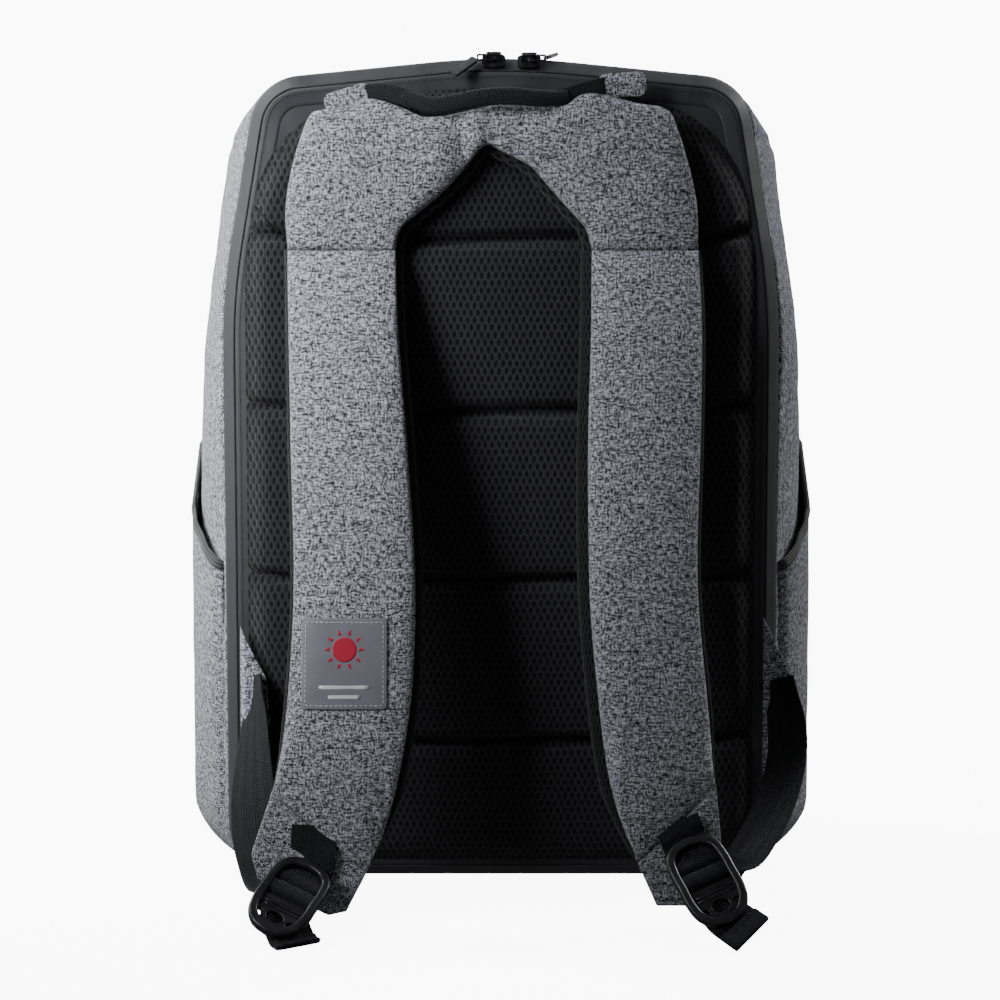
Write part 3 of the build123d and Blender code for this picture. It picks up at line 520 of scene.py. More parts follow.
class Cloth:
    """Grids of points sewn into one mesh, with a map of the flat cloth in metres."""

    def __init__(self):
        self.points, self.maps, self.faces = [], [], []

    def grid(self, points, flat=None):
        """A sheet of rows of points. flat gives each point's place on the cloth, in millimetres."""
        points = np.asarray(points, float)
        rows, columns = points.shape[:2]
        if flat is None:
            along = np.linalg.norm(np.diff(points, axis=0), axis=2).mean(axis=1)
            across = np.linalg.norm(np.diff(points, axis=1), axis=2).mean(axis=0)
            flat = spread(np.append(0, np.cumsum(across)), np.append(0, np.cumsum(along)))
        self.faces.append(grid_faces(rows, columns, sum(len(p) for p in self.points)))
        self.points.append(points.reshape(-1, 3))
        self.maps.append(np.asarray(flat, float).reshape(-1, 2))
        return self

    def wall(self, first, second, flat, height=1.0):
        """A narrow strip between two lines of points, next to a line of the flat cloth."""
        return self.grid(np.stack([first, second]), np.stack([flat, flat + (0, height)]))

    def build(self, name, finish, weld=True):
        points, maps = np.vstack(self.points) * MM, np.vstack(self.maps) * MM
        faces = np.vstack(self.faces)
        mesh = bpy.data.meshes.new(name)
        mesh.from_pydata(points.tolist(), [], faces.tolist())
        layer = mesh.uv_layers.new(name=CLOTH_UV)
        layer.data.foreach_set("uv", maps[faces.ravel()].astype(np.float32).ravel())
        if weld:
            bm = bmesh.new()
            bm.from_mesh(mesh)
            bmesh.ops.remove_doubles(bm, verts=bm.verts, dist=0.02 * MM)
            bmesh.ops.dissolve_degenerate(bm, edges=bm.edges, dist=0.001 * MM)
            bmesh.ops.recalc_face_normals(bm, faces=bm.faces)
            bm.to_mesh(mesh)
            bm.free()
        mesh.polygons.foreach_set("use_smooth", np.ones(len(mesh.polygons), bool))
        mesh.materials.append(FINISHES[finish])
        return linked(name, mesh)

    def put(self, name, finish, body, *replaced, slot=None, weld=True):
        """Builds the mesh as a piece that rides on a body and stands for CAD nodes."""
        return place(self.build(name, finish, weld), body, slot or finish, *replaced)


def place(piece, body, slot, *replaced):
    """Rides a finished piece on its body and hides the CAD nodes that it stands for; its slot is not
    used.
    """
    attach(piece, body)
    if replaced:
        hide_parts(*replaced)
    return piece


SETTLING_FRAMES = 20
PADDING_PRESSURE, PADDING_REACH = 4.0, 2.6


def inflate(piece, held):
    """Puffs a padded piece up by cloth simulation. held(x, y, z) marks the sewn lines that stay put,
    and no point moves further than the padding's reach."""
    mesh = piece.data
    rest = np.array([v.co for v in mesh.vertices])
    sewn = np.flatnonzero(held(*(rest / MM).T))
    group = piece.vertex_groups.new(name="sewn")
    group.add(sewn.tolist(), 1.0, "REPLACE")
    modifier = piece.modifiers.new("cloth", "CLOTH")
    cloth = modifier.settings
    cloth.quality = 6
    cloth.vertex_group_mass = "sewn"
    cloth.tension_stiffness = cloth.compression_stiffness = 12.0
    cloth.bending_stiffness = 0.4
    cloth.use_pressure = True
    cloth.uniform_pressure_force = PADDING_PRESSURE
    cloth.effector_weights.gravity = 0.0
    modifier.collision_settings.use_collision = False
    for moment in range(SETTLING_FRAMES):
        bpy.context.scene.frame_set(moment + 1)
    graph = bpy.context.evaluated_depsgraph_get()
    moved = np.array([v.co for v in piece.evaluated_get(graph).data.vertices])
    piece.modifiers.remove(modifier)
    piece.vertex_groups.remove(group)
    bpy.context.scene.frame_set(1)
    shift = moved - rest
    far = np.linalg.norm(shift, axis=1)
    limit = PADDING_REACH * MM
    reach = limit * np.tanh(far / limit)
    shift *= (reach / np.maximum(far, 1e-9))[:, None]
    mesh.vertices.foreach_set("co", (rest + shift).astype(np.float32).ravel())
    mesh.update()


def sections_along(path, side, profile, taper=None):
    """Grid of a closed profile (across, out) carried along a path; side points across it."""
    path = np.asarray(path, float)
    tangent = np.gradient(path, axis=0)
    tangent /= np.linalg.norm(tangent, axis=1)[:, None]
    side = np.broadcast_to(np.asarray(side, float), path.shape)
    side = side - tangent * np.sum(side * tangent, axis=1)[:, None]
    side /= np.linalg.norm(side, axis=1)[:, None]
    out = np.cross(tangent, side)
    profile = np.asarray(profile, float)
    scale = np.ones(len(path)) if taper is None else np.asarray(taper, float)
    across = profile[None, :, 0, None] * scale[:, None, None] * side[:, None]
    return path[:, None] + across + profile[None, :, 1, None] * scale[:, None, None] * out[:, None]


def superellipse(width, height, power=4.0, steps=24):
    """A closed rounded section; a high power is nearly a rectangle."""
    angle = np.linspace(0, 2 * math.pi, steps + 1)
    c, s = np.cos(angle), np.sin(angle)
    x = np.sign(c) * np.abs(c) ** (2 / power) * width / 2
    y = np.sign(s) * np.abs(s) ** (2 / power) * height / 2
    return np.stack([x, y], axis=1)


def add_sweep(cloth, path, side, profile, capped=True, taper=None):
    """Adds a closed section carried along a path, with rounded-off ends."""
    path = np.asarray(path, float)
    rings = sections_along(path, side, profile, taper)
    along = run_length(path)
    flat = spread(run_length(profile), along)
    cloth.grid(rings, flat)
    if capped:
        for end in (0, -1):
            middle = rings[end].mean(axis=0)
            fan = np.stack([rings[end], np.broadcast_to(middle, rings[end].shape)])
            cloth.grid(fan, np.stack([flat[end], flat[end] * 0 + along[end]]))
    return cloth


def sweep(name, finish, path, side, profile, capped=True, taper=None):
    return add_sweep(Cloth(), path, side, profile, capped, taper).build(name, finish)


def tape(name, path, side, width=WEBBING_WIDTH, thickness=WEBBING):
    """A length of webbing with firm rounded edges."""
    return sweep(name, "webbing", path, side, superellipse(width, thickness, 6.0, 28))


def stitches(name, body, path, normal, size, finish="grey_thread", slot="webbing"):
    """A row of raised stitches along a line on a surface; size is their pitch, length and radius."""
    pitch, length, radius = size
    section = superellipse(2 * radius, 1.6 * radius, 2.0, 5)
    row = Cloth()
    path = np.asarray(path, float)
    count = max(2, int(run_length(path)[-1] / pitch))
    normals = np.broadcast_to(np.asarray(normal, float), path.shape)
    both = evenly(np.hstack([path, normals]), 2 * count + 1)
    share = np.array([-0.5, -0.3, 0.0, 0.3, 0.5])
    height = np.array([-0.2, 0.6, 1.0, 0.6, -0.2]) * radius
    for i in range(1, 2 * count, 2):
        centre, n = both[i, :3], both[i, 3:] / np.linalg.norm(both[i, 3:])
        way = both[i + 1, :3] - both[i - 1, :3]
        way *= length / np.linalg.norm(way)
        line = centre + share[:, None] * way + height[:, None] * n
        add_sweep(row, line, np.cross(way, n), section, taper=(0.5, 1, 1, 1, 0.5))
    row.put(name, finish, body, slot=slot, weld=False)


# ---------------------------------------------------------------- shell of the bag
RING_FLAT = run_length(bag_outline(BELLY))


def outward(rings):
    """Unit normals of a stack of rings, pointing out of the bag."""
    around = np.gradient(rings, axis=1)
    along = np.gradient(rings, axis=0)
    normal = np.cross(along, around)
    normal /= np.linalg.norm(normal, axis=2)[..., None] + 1e-12
    middle = np.array([0, BACK_Y + FRONT_DEPTH / 2, 225.0])
    facing = np.sign(np.sum((rings - middle) * normal, axis=2).mean())
    return normal * facing


def softened(rings, amount, size, seed):
    """A stack of rings with the slack and seams of sewn fabric."""
    normal = outward(rings)
    z = rings[..., 2]
    slack = amount * ripple(rings, size, seed) + 0.35 * amount * ripple(rings, size / 3.5, seed + 1)
    on_side = np.clip(np.abs(rings[..., 0]) / 90 - 0.6, 0, 1)
    for seam in (BASE_SPLIT_Z, TOP_SPLIT_Z):
        slack += on_side * (-1.9 * bump_at(z, seam, 2.0) + 0.9 * bump_at(z, seam, 11.0))
    slack *= np.clip(z / 12, 0, 1)
    moved = rings + normal * slack[..., None]
    moved[..., 2] = np.maximum(moved[..., 2], np.minimum(z, 0.05))
    return moved


SHELL_DEPTHS = np.linspace(RIM_DEPTH, SEAM_DEPTH, 34)


def bag_shell():
    """Outer fabric of the side, top and base panels, turned in at both edges, and its lining."""
    rings = np.stack([ring(MAIN_LOFT, depth) for depth in SHELL_DEPTHS])
    outer = softened(rings, 1.0, 85, 3)
    outer[0], outer[-1] = rings[0], rings[-1]
    inner = outer - outward(outer) * SHELL_WALL
    flat = spread(RING_FLAT, SHELL_DEPTHS)
    shell = Cloth().grid(outer, flat)
    middle = outer - outward(outer) * SHELL_WALL / 2
    for end in (0, -1):
        shell.wall(outer[end], middle[end], flat[end])
    shell.grid(middle, flat)
    panels = "base_panel", "top_panel", "side_panel_left", "side_panel_right"
    shell.put("bag_shell", "heather_fabric", "bag", *panels)

    lining = Cloth().grid(inner, flat)
    skin = (middle + outward(outer) * 0.05 * SHELL_WALL) * 0.25 + inner * 0.75
    lining.grid(skin, flat)
    for end in (0, -1):
        lining.wall(inner[end], skin[end], flat[end])
    lining.put("bag_lining", "lining_fabric", "bag")


def rim_line(inset, depth):
    return at_depth(bag_outline(RIM, inset), depth)


def rim_band(name, finish, body, profile, *replaced):
    """A closed profile of (inset, depth) points carried round the bag's outline."""
    rings = np.stack([rim_line(inset, depth) for inset, depth in profile])
    around = run_length(np.asarray(profile, float))
    Cloth().grid(rings, spread(RING_FLAT, around)).put(name, finish, body, *replaced)


TOOTH_PITCH = 1.5


def tooth_swell(count, phase=0):
    """Thickness along a rod that swells at every fourth point, as a zip's coil does."""
    return 0.72 + 0.28 * np.cos(np.arange(count) * math.pi / 2 + phase)


def zip_teeth(name, body, inset, depth):
    """The coil's teeth beside the zip line."""
    line = rim_line(inset, depth)
    count = int(run_length(line)[-1] / TOOTH_PITCH) * 4 + 1
    rod = superellipse(1.0, 1.0, 2.0, 6)
    piece = sweep(name, "zip_coil", evenly(line, count), (0, -1, 0), rod, False, tooth_swell(count))
    place(piece, body, "zip_coil")


def zip_bands():
    """The bevelled strip on the shell, the border on the panel, and the zip between them."""
    rim_band("shell_strip", "coated_fabric", "bag", (
        (7.0, 0.6), (6.8, 0.1), (6.1, 0.6), (5.2, 1.5), (3.6, 3.1), (1.9, 4.8), (0.5, 6.3), (-0.2, 7.6),
        (0.3, 8.3), (1.0, 8.5), (2.2, 6.8), (4.4, 4.5), (6.2, 2.5), (6.9, 1.7), (7.0, 0.6),
    ), "zip_track_shell")
    rim_band("panel_border", "coated_fabric", "back_panel", (
        (7.5, 0.6), (7.6, -0.2), (8.2, -0.6), (9.4, -0.65), (10.6, -0.5), (13.0, -0.4), (15.6, -0.35),
        (17.0, -0.2), (17.9, 0.7), (17.9, 1.8), (13.0, 2.0), (8.4, 2.0), (7.6, 1.6), (7.5, 0.6),
    ), "back_border", "zip_track_panel")
    zip_teeth("shell_teeth", "bag", 7.05, 0.7)
    zip_teeth("panel_teeth", "back_panel", 7.9, 1.0)
    tape_profile = (6.4, 2.8), (8.6, 2.15), (8.6, 2.4), (6.4, 3.05), (6.4, 2.8)
    rim_band("zip_tape", "webbing", "back_panel", tape_profile)
    line = rim_line(10.0, -0.65)
    stitches("border_stitches", "back_panel", line, (0, -1, 0), (4.2, 2.8, 0.24), "dark_thread")


# ---------------------------------------------------------------- back padding
def disc_grid(outline, rings):
    """Concentric rings from an outline to its middle, closer together near the outline."""
    centre = (outline.max(axis=0) + outline.min(axis=0)) / 2
    share = 1 - np.linspace(0, 1, rings) ** 1.25
    return centre + (outline[None] - centre) * share[:, None, None]


def pad_height(x, z, edge):
    """How far the mesh stands in front of the border: crowned pads between sewn channels."""
    height = (PAD_FRONT - 1.0) * (1 - np.exp(-((edge / 7.5) ** 1.5)))
    slant = np.clip((np.abs(x) - 112) / 30, 0, 1)
    for channel in CHANNELS:
        line = channel + 5.5 * slant + 0.8 * np.sin(x / 21)
        height *= 1 - 0.86 * bump_at(z, line, 3.1) - 0.13 * bump_at(z, line, 11.0)
    height += 0.5 * flat_ripple(x, z, 38, 8) * np.clip(edge / 14, 0, 1)
    return np.minimum(height, PAD_FRONT + 0.6)


def panel_sheet(name, finish, face, y, back_y, *replaced):
    """A sheet of the back panel: a shaped face over (x, z) points, its edge and a flat back."""
    x, z = face[..., 0], face[..., 1]
    front, back = spots(x, y, z), spots(x, back_y, z)
    flat = face + (CLOTH_ORIGIN, 0)
    sheet = Cloth().grid(front, flat).wall(front[0], back[0], flat[0], 2)
    sheet.grid(back[[0, -1]], flat[[0, -1]])
    return sheet.put(name, finish, "back_panel", *replaced)


def back_mesh():
    """The panel's front: one skin of spacer mesh over foam pads, and the border's inner corners."""
    dense = evenly(bag_outline(MESH_SHAPE, MESH_INSET), 620)
    face = disc_grid(dense, 96)
    height = pad_height(face[..., 0], face[..., 1], distance_inside(face, dense))
    mesh = panel_sheet("back_mesh", "air_mesh", face, BACK_Y - 0.2 - height, BACK_Y + 1.5,
                       "mesh_cover", "back_pads")

    ground = disc_grid(bag_outline(RIM, BORDER_INSET + BORDER_WIDTH - 0.6), 12)
    swell = 0.5 * bump_at(distance_inside(ground, dense), 0, 3)
    corners = spots(ground[..., 0], BACK_Y - 0.25 - swell, ground[..., 1])
    cloth = Cloth().grid(corners, ground + (CLOTH_ORIGIN, 0))
    cloth.put("border_corners", "coated_fabric", "back_panel")


def distance_inside(points, outline):
    """Distance from points inside an outline to it."""
    flat = points.reshape(-1, 2)
    nearest = np.full(len(flat), 1e9)
    for a, b in zip(outline[:-1:2], outline[2::2]):
        way = b - a
        share = np.clip(((flat - a) @ way) / (way @ way), 0, 1)
        nearest = np.minimum(nearest, np.linalg.norm(flat - a - share[:, None] * way, axis=1))
    return nearest.reshape(points.shape[:-1])


def board_lining():
    """Inside of the back panel: lining over the stiffening board, with its seam."""
    outline = bag_outline(RIM, 9.6)
    face = disc_grid(evenly(outline, 420), 40)
    rise = 0.8 * (1 - np.exp(-distance_inside(face, evenly(outline, 200)) / 8))
    y = BACK_Y + 3.1 + rise + 0.12 * flat_ripple(face[..., 0], face[..., 1], 60, 5)
    panel_sheet("board_lining", "lining_fabric", face, y, BACK_Y + 2.2, "back_board")


# ---------------------------------------------------------------- yoke and straps
strap_top = np.array([BACK_Y - YOKE_FRONT, SEAM_Z])
strap_tip = np.array([BACK_Y - STRAP_FOOT[0], STRAP_FOOT[1]])
strap_chord = strap_tip - strap_top
STRAP_RADIUS = strap_chord @ strap_chord / (8 * STRAP_SAG) + STRAP_SAG / 2
chord_normal = np.array([-strap_chord[1], strap_chord[0]]) / np.linalg.norm(strap_chord)
STRAP_CENTRE = (strap_top + strap_tip) / 2 + chord_normal * (STRAP_RADIUS - STRAP_SAG)


def on_strap(x, z, behind):
    """Front-on points laid on the straps' bow, at a depth behind their outer face."""
    reach = STRAP_RADIUS - behind
    return spots(x, STRAP_CENTRE[0] - np.sqrt(reach**2 - (z - STRAP_CENTRE[1]) ** 2), z)


def on_yoke(x, z, behind):
    """Front-on points on the yoke, which lies flat against the padding and curls back at its top."""
    curl = 4.0 * np.clip((z - 408) / 28, 0, 1) ** 2
    return spots(x, BACK_Y - YOKE_FRONT + behind + curl, z)


# outer edge, tip and inner edge of each strap seen from the front, and the seam of its end
STRAPS = {
    "left": {
        "outer": ((-116.3, 354.9), (-114.8, 312), (-112.6, 252), (-110.5, 155), (-118.7, 80), (-132, 38)),
        "tip": ((-128.5, 25), (-91, 5.5)),
        "inner": ((-57.5, 354.9), (-55.5, 312), (-50, 250), (-45.3, 165), (-51, 92), (-65, 41),
                  (-81.5, 7.5)),
        "seam": ((-150, 93.5), (-60, 20)),
    },
    "right": {
        "outer": ((107.5, 354.9), (108.6, 316), (107.0, 258), (104.5, 175), (110, 112), (116.3, 45)),
        "tip": ((113, 22), (98, 10.5)),
        "inner": ((49.5, 354.9), (48.6, 312), (46.2, 230), (49.5, 135), (62, 58), (82, 10.5)),
        "seam": ((140, 98), (50, 13.5)),
    },
}


def cut_edges(side):
    """Both edges of a strap, split where the diagonal seam of its end crosses them."""
    shape = STRAPS[side]
    a, b = (np.array(p, float) for p in shape["seam"])
    pieces = {}
    for name in ("outer", "inner"):
        line = smooth(shape[name], 400)
        beyond = (line[:, 0] - a[0]) * (b[1] - a[1]) - (line[:, 1] - a[1]) * (b[0] - a[0])
        cut = int(np.argmax(np.sign(beyond) != np.sign(beyond[0])))
        pieces[name] = (line[: cut + 1], line[cut:])
    return pieces


def padded_strip(inner, outer, lay, front, thickness, steps, power, relief=None):
    """Grid of a padded strip between two edge lines; lay places (x, z, behind) points. Its closed
    section runs from -1 to 1 across, and from -1 behind to 1 in front."""
    across, out = superellipse(2, 2, power, steps).T
    share = (across + 1) / 2
    x = inner[:, None, 0] + (outer - inner)[:, None, 0] * share
    z = inner[:, None, 1] + (outer - inner)[:, None, 1] * share
    half = np.broadcast_to(np.asarray(thickness, float) / 2, len(inner))[:, None]
    behind = front + half.max() - out * half
    if relief is not None:
        behind = behind - np.clip(out, 0, 1) * relief(x, z)
    points = lay(x, z, behind)
    edge = np.sign(across) * np.abs(across) ** 12
    wrapped = x + behind * edge * np.sign((outer - inner)[:, 0])[:, None]
    return points, np.stack([wrapped + CLOTH_ORIGIN, z + 0 * behind], axis=2)


def strip_piece(name, finish, points, flat):
    """A padded strip closed at both ends."""
    cloth = Cloth().grid(points, flat)
    for end in (0, -1):
        middle = np.broadcast_to(points[end].mean(axis=0), points[end].shape)
        cloth.wall(points[end], middle, flat[end], 3)
    return cloth.build(name, finish)


YOKE_FOLDS = (
    # from (x, z), to (x, z), height, width
    ((-11, 412), (-15, 434), 2.6, 4.0),
    ((-20, 405), (-25, 432), -2.2, 4.0),
    ((-31, 398), (-40, 426), 1.8, 6.0),
    ((-46, 392), (-60, 424), -1.3, 6.5),
    ((8, 405), (14, 434), -1.2, 7.0),
    ((20, 396), (48, 420), -1.1, 5.0),
    ((-72, 384), (-84, 396), -1.6, 11.0),
    ((60, 392), (78, 408), -1.4, 12.0),
    ((-60, 368), (-106, 384), 0.9, 5.0),
    ((52, 372), (100, 392), 0.9, 6.0),
    ((-62, 362), (-96, 363), -0.7, 3.0),
    ((60, 368), (100, 371), -0.6, 3.0),
)


def folds(x, z, creases):
    """Height of soft folds that run from one point to another and die out at their ends."""
    height = np.zeros(np.shape(x))
    for (x0, z0), (x1, z1), amount, width in creases:
        way = np.array([x1 - x0, z1 - z0], float)
        share = ((x - x0) * way[0] + (z - z0) * way[1]) / (way @ way)
        near = np.clip(share, 0, 1)
        gap = np.hypot(x - x0 - near * way[0], z - z0 - near * way[1])
        height += amount * np.exp(-((gap / width) ** 2))
    return height


def yoke_edges(count):
    """Neck edge and outer edge of the yoke, from the left seam round to the right one."""
    outer = np.vstack([
        smooth(((-116.3, 355.1), (-117.5, 373), (-112.5, 404), (-106, 424)), 30),
        smooth(((-103, 429.5), (-97, 431), (-85, 432), (-72, 437), (-59, 434), (-42, 427), (-20, 430),
                (2, 434), (28, 433.5), (48, 440), (60, 438), (75, 434), (87, 432.5)), 90),
        smooth(((92.5, 429.5), (98, 414), (103, 397), (106.5, 380), (107.5, 355.1)), 30),
    ])
    inner = np.vstack([
        smooth(((-57.5, 355.1), (-56, 364), (-44, 376), (-33, 385), (-18, 401), (-11.5, 409.5)), 40),
        smooth(((-9.5, 411), (-7, 411.8), (-3.5, 410.5)), 8),
        smooth(((0, 408.5), (16, 400), (27, 388), (38, 376), (46.5, 366), (49.5, 355.1)), 40),
    ])
    return evenly(inner, count), evenly(outer, count)


def seam_pinch(z, aside):
    """Depth of the seam between yoke and straps; aside is the way to the piece's own side of it."""
    return -1.9 * bump_at(z, SEAM_Z, 1.8) - 0.5 * bump_at(z, SEAM_Z + aside, 7)


def yoke_relief(x, z):
    return folds(x, z, YOKE_FOLDS) + seam_pinch(z, 3) + 0.5 * flat_ripple(x, z, 42, 21)


def yoke():
    inner, outer = yoke_edges(120)
    points, flat = padded_strip(inner, outer, on_yoke, 0.0, YOKE_THICKNESS - 2.4, 44, 4.0, yoke_relief)
    piece = strip_piece("yoke", "heather_fabric", points, flat)
    inflate(piece, lambda x, y, z: (z < SEAM_Z + 1.5) | (y > BACK_Y - PAD_FRONT - 3.5))
    place(piece, "back_panel", "heather_fabric", "harness_yoke")

    neck = on_yoke(inner[:, 0], inner[:, 1], 10.0)
    roll = superellipse(9.5, 4.6, 2.6, 16)
    lining = sweep("yoke_lining", "air_mesh", neck, (0, -1, 0), roll[:, ::-1])
    place(lining, "back_panel", "air_mesh")


def strap_relief(side):
    seed = 31 if side == "left" else 37

    def relief(x, z):
        slack = 0.35 + 0.9 * np.clip((140 - z) / 120, 0, 1)
        uneven = 0.7 * flat_ripple(x, z, 46, seed) + 0.3 * flat_ripple(x, z, 17, 33)
        return slack * uneven + seam_pinch(z, -3)
    return relief


def straps(side):
    body, turn = f"strap_{side}", 1 if side == "left" else -1
    edges = cut_edges(side)
    inner, outer = (evenly(edges[name][0], STRAP_ROWS) for name in ("inner", "outer"))
    to_end = 1 - np.linspace(0, 1, STRAP_ROWS)
    rise = np.minimum(1.0, 0.42 + 0.58 * np.sqrt(np.clip(to_end / 0.035, 0, 1)))
    thickness = STRAP_THICKNESS * rise
    points, flat = padded_strip(inner, outer, on_strap, 0.0, thickness, 44, 4.5, strap_relief(side))
    strap = strip_piece(f"strap_{side}_pad", "heather_fabric", points, flat)
    rear = STRAP_THICKNESS - 2.0
    inflate(strap, lambda x, y, z: (z > SEAM_Z - 1.5) | (y > on_strap(x, z, rear)[:, 1]))
    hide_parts(f"strap_{side}")
    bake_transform(strap)

    proud = np.clip(to_end / 0.12, 0, 1)[:, None] * (turn, 0)
    wide_in, wide_out = inner + 5.0 * proud - (1, 0), outer - 2.2 * proud
    back, back_flat = padded_strip(wide_in, wide_out, on_strap, STRAP_THICKNESS - 1.6, 4.2, 30, 3.2)
    lining = strip_piece(f"strap_{side}_lining", "air_mesh", back, back_flat)
    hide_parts(f"strap_lining_{side}")
    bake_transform(lining)

    tip = np.array(STRAPS[side]["tip"], float)
    low_outer = evenly(np.vstack([edges["outer"][1], tip[:1]]), 30)
    low_inner = evenly(np.vstack([edges["inner"][1], tip[1:]]), 30)
    end, end_flat = padded_strip(low_inner, low_outer, on_strap, 2.6, 5.0, 36, 7.0)
    strap_end = strip_piece(f"strap_{side}_end", "heather_fabric", end, end_flat)
    place(strap_end, body, "heather_fabric", f"strap_end_{side}")

    seam = evenly(np.stack([inner[-1], outer[-1]]), 40)
    above = seam + (inner[-3] - inner[-1]) * 0.75
    line = on_strap(above[2:-2, 0], above[2:-2, 1], 2.2)
    stitches(f"strap_{side}_stitches", body, line, (0, -1, -0.25), (3.0, 2.1, 0.34))


def facing_surface(piece):
    """A function that lays front-on points (x, z) on a finished piece, lifted towards the front."""
    mesh = piece.data
    tree = BVHTree.FromPolygons([v.co for v in mesh.vertices], [p.vertices for p in mesh.polygons])

    def lay(x, z, lift):
        y = [tree.ray_cast(Vector((a * MM, -1.0, b * MM)), Vector((0, 1, 0)))[0].y / MM
             for a, b in zip(np.ravel(x), np.ravel(z))]
        return spots(x, np.reshape(y, np.shape(x)) - lift, z)
    return lay


def box_outline(centre, size, radius, steps=9):
    """A rectangle with rounded corners; it ends where it starts."""
    line = []
    for quarter, (sx, sz) in enumerate(((1, 1), (-1, 1), (-1, -1), (1, -1))):
        angle = math.pi / 2 * quarter + np.linspace(0, math.pi / 2, steps)
        corner = np.array(centre) + (sx * (size[0] / 2 - radius), sz * (size[1] / 2 - radius))
        line.append(corner + radius * heading(angle))
    return np.vstack([*line, line[0][:1]])


def face_patch(cloth, outline, surface, lift, thickness, rings=14):
    """A thin flat piece with a rounded edge, laid on a surface function of (x, z, lift)."""
    disc = disc_grid(outline, rings)
    front = surface(disc[..., 0], disc[..., 1], lift)
    rim = surface(outline[:, 0], outline[:, 1], lift - thickness)
    return cloth.grid(front, disc).wall(front[0], rim, disc[0])


LABEL_CENTRE, LABEL_SIZE = (-82.5, 138.5), (45.0, 47.0)
SUN_CENTRE, SUN_RADIUS = (-82.5, 146.0), 6.4


def label():
    """Sewn label with a plain sun and two bars, and its stitched border."""
    surface = facing_surface(bpy.data.objects["strap_left_pad"])
    outline = evenly(box_outline(LABEL_CENTRE, LABEL_SIZE, 1.6), 160)
    patch = face_patch(Cloth(), outline, surface, 1.0, 0.9, 22)
    patch.put("label_patch_cloth", "label", "strap_left", "label_patch")

    sun = Cloth()
    angle = np.linspace(0, 2 * math.pi, 49)
    circle = np.array(SUN_CENTRE) + SUN_RADIUS * heading(angle)
    face_patch(sun, circle, surface, 1.22, 0.3, 8)
    for ray in range(10):
        way = np.array([math.cos(ray * math.pi / 5), math.sin(ray * math.pi / 5)])
        aside = np.array([-way[1], way[0]])
        base, tip = (SUN_CENTRE + way * (SUN_RADIUS + gap) for gap in (1.4, 4.2))
        wedge = [base - aside * 0.95, base + aside * 0.95, tip + aside * 0.3, tip - aside * 0.3]
        face_patch(sun, evenly([*wedge, wedge[0]], 17), surface, 1.22, 0.3, 3)
    sun.put("label_sun", "label_red", "strap_left", slot="label")

    bars = Cloth()
    for drop, width in ((13.5, 27.0), (18.5, 17.0)):
        centre = (LABEL_CENTRE[0], LABEL_CENTRE[1] - drop + 1.5)
        face_patch(bars, box_outline(centre, (width, 1.9), 0.9, 5), surface, 1.2, 0.3, 4)
    bars.put("label_bars", "label_white", "strap_left", slot="label")

    border = box_outline(LABEL_CENTRE, (LABEL_SIZE[0] - 4, LABEL_SIZE[1] - 4), 1.0)
    x, z = evenly(border, 160).T
    stitches("label_stitches", "strap_left", surface(x, z, 1.05), (0, -1, 0.1), (2.6, 1.8, 0.26),
             "label_white", "label")


# ---------------------------------------------------------------- wings, webbing and ladder locks
# top and bottom corner at the side seam, then at the webbing
WINGS = {
    "left": ((-146, 146), (-146.5, 58), (-131, 118), (-129, 92)),
    "right": ((147.5, 150), (148, 56), (163, 117), (163, 92)),
}
# X and depth along each wing
WING_PATHS = {
    "left": ((-148, -143, -128), (-2.8, -13.5, -16)),
    "right": ((146, 156, 166), (-2.8, -3.2, -4.5)),
}


def wing(side):
    """Folded fabric wing that carries the lower webbing: wide at the side seam, narrow at the webbing."""
    top, bottom, tip_top, tip_bottom = (np.array(p, float) for p in WINGS[side])
    share = np.linspace(0, 1, 22)[:, None]
    upper, lower = top + (tip_top - top) * share, bottom + (tip_bottom - bottom) * share

    def lay(x, z, behind):
        return spots(x, BACK_Y + np.interp(x, *WING_PATHS[side]) - 1.4 + behind, z)

    points, flat = padded_strip(lower, upper, lay, 0.0, 2.6, 36, 5.0)
    piece = strip_piece(f"wing_{side}_cloth", "heather_fabric", points, flat)
    place(piece, "back_panel", "heather_fabric", f"wing_{side}")
    x, z = (upper[3:] * 0.9 + lower[3:] * 0.1).T
    stitches(f"wing_{side}_stitches", "back_panel", lay(x, z, 0.1), (0, -1, 0), (3.0, 2.0, 0.28))


# centre of the top bar (X, depth, Z), the way the lock hangs, and the direction of its bars
LOCKS = {
    "left": ((-103.0, -104.0, 28.0), (-0.40, -0.81, -0.43), (0.894, -0.237, -0.385)),
    "right": ((100.0, -104.0, 40.0), (0.40, -0.66, -0.64), (0.894, 0.237, 0.385)),
}
LOCK_WIDTH = 33.0


def lock_axes(side):
    """Origin and axes of a ladder lock: along its bars, up the lock, out of its front."""
    (x, depth, z), hang, bars = LOCKS[side]
    up = -np.array(hang) / np.linalg.norm(hang)
    front = np.cross(bars, up)
    front /= np.linalg.norm(front)
    return np.array([x, BACK_Y + depth, z]), np.stack([np.cross(up, front), up, front])


def in_lock(side, points):
    """Points of a lock's own frame in the bag's frame."""
    origin, axes = lock_axes(side)
    return origin + np.asarray(points, float) @ axes


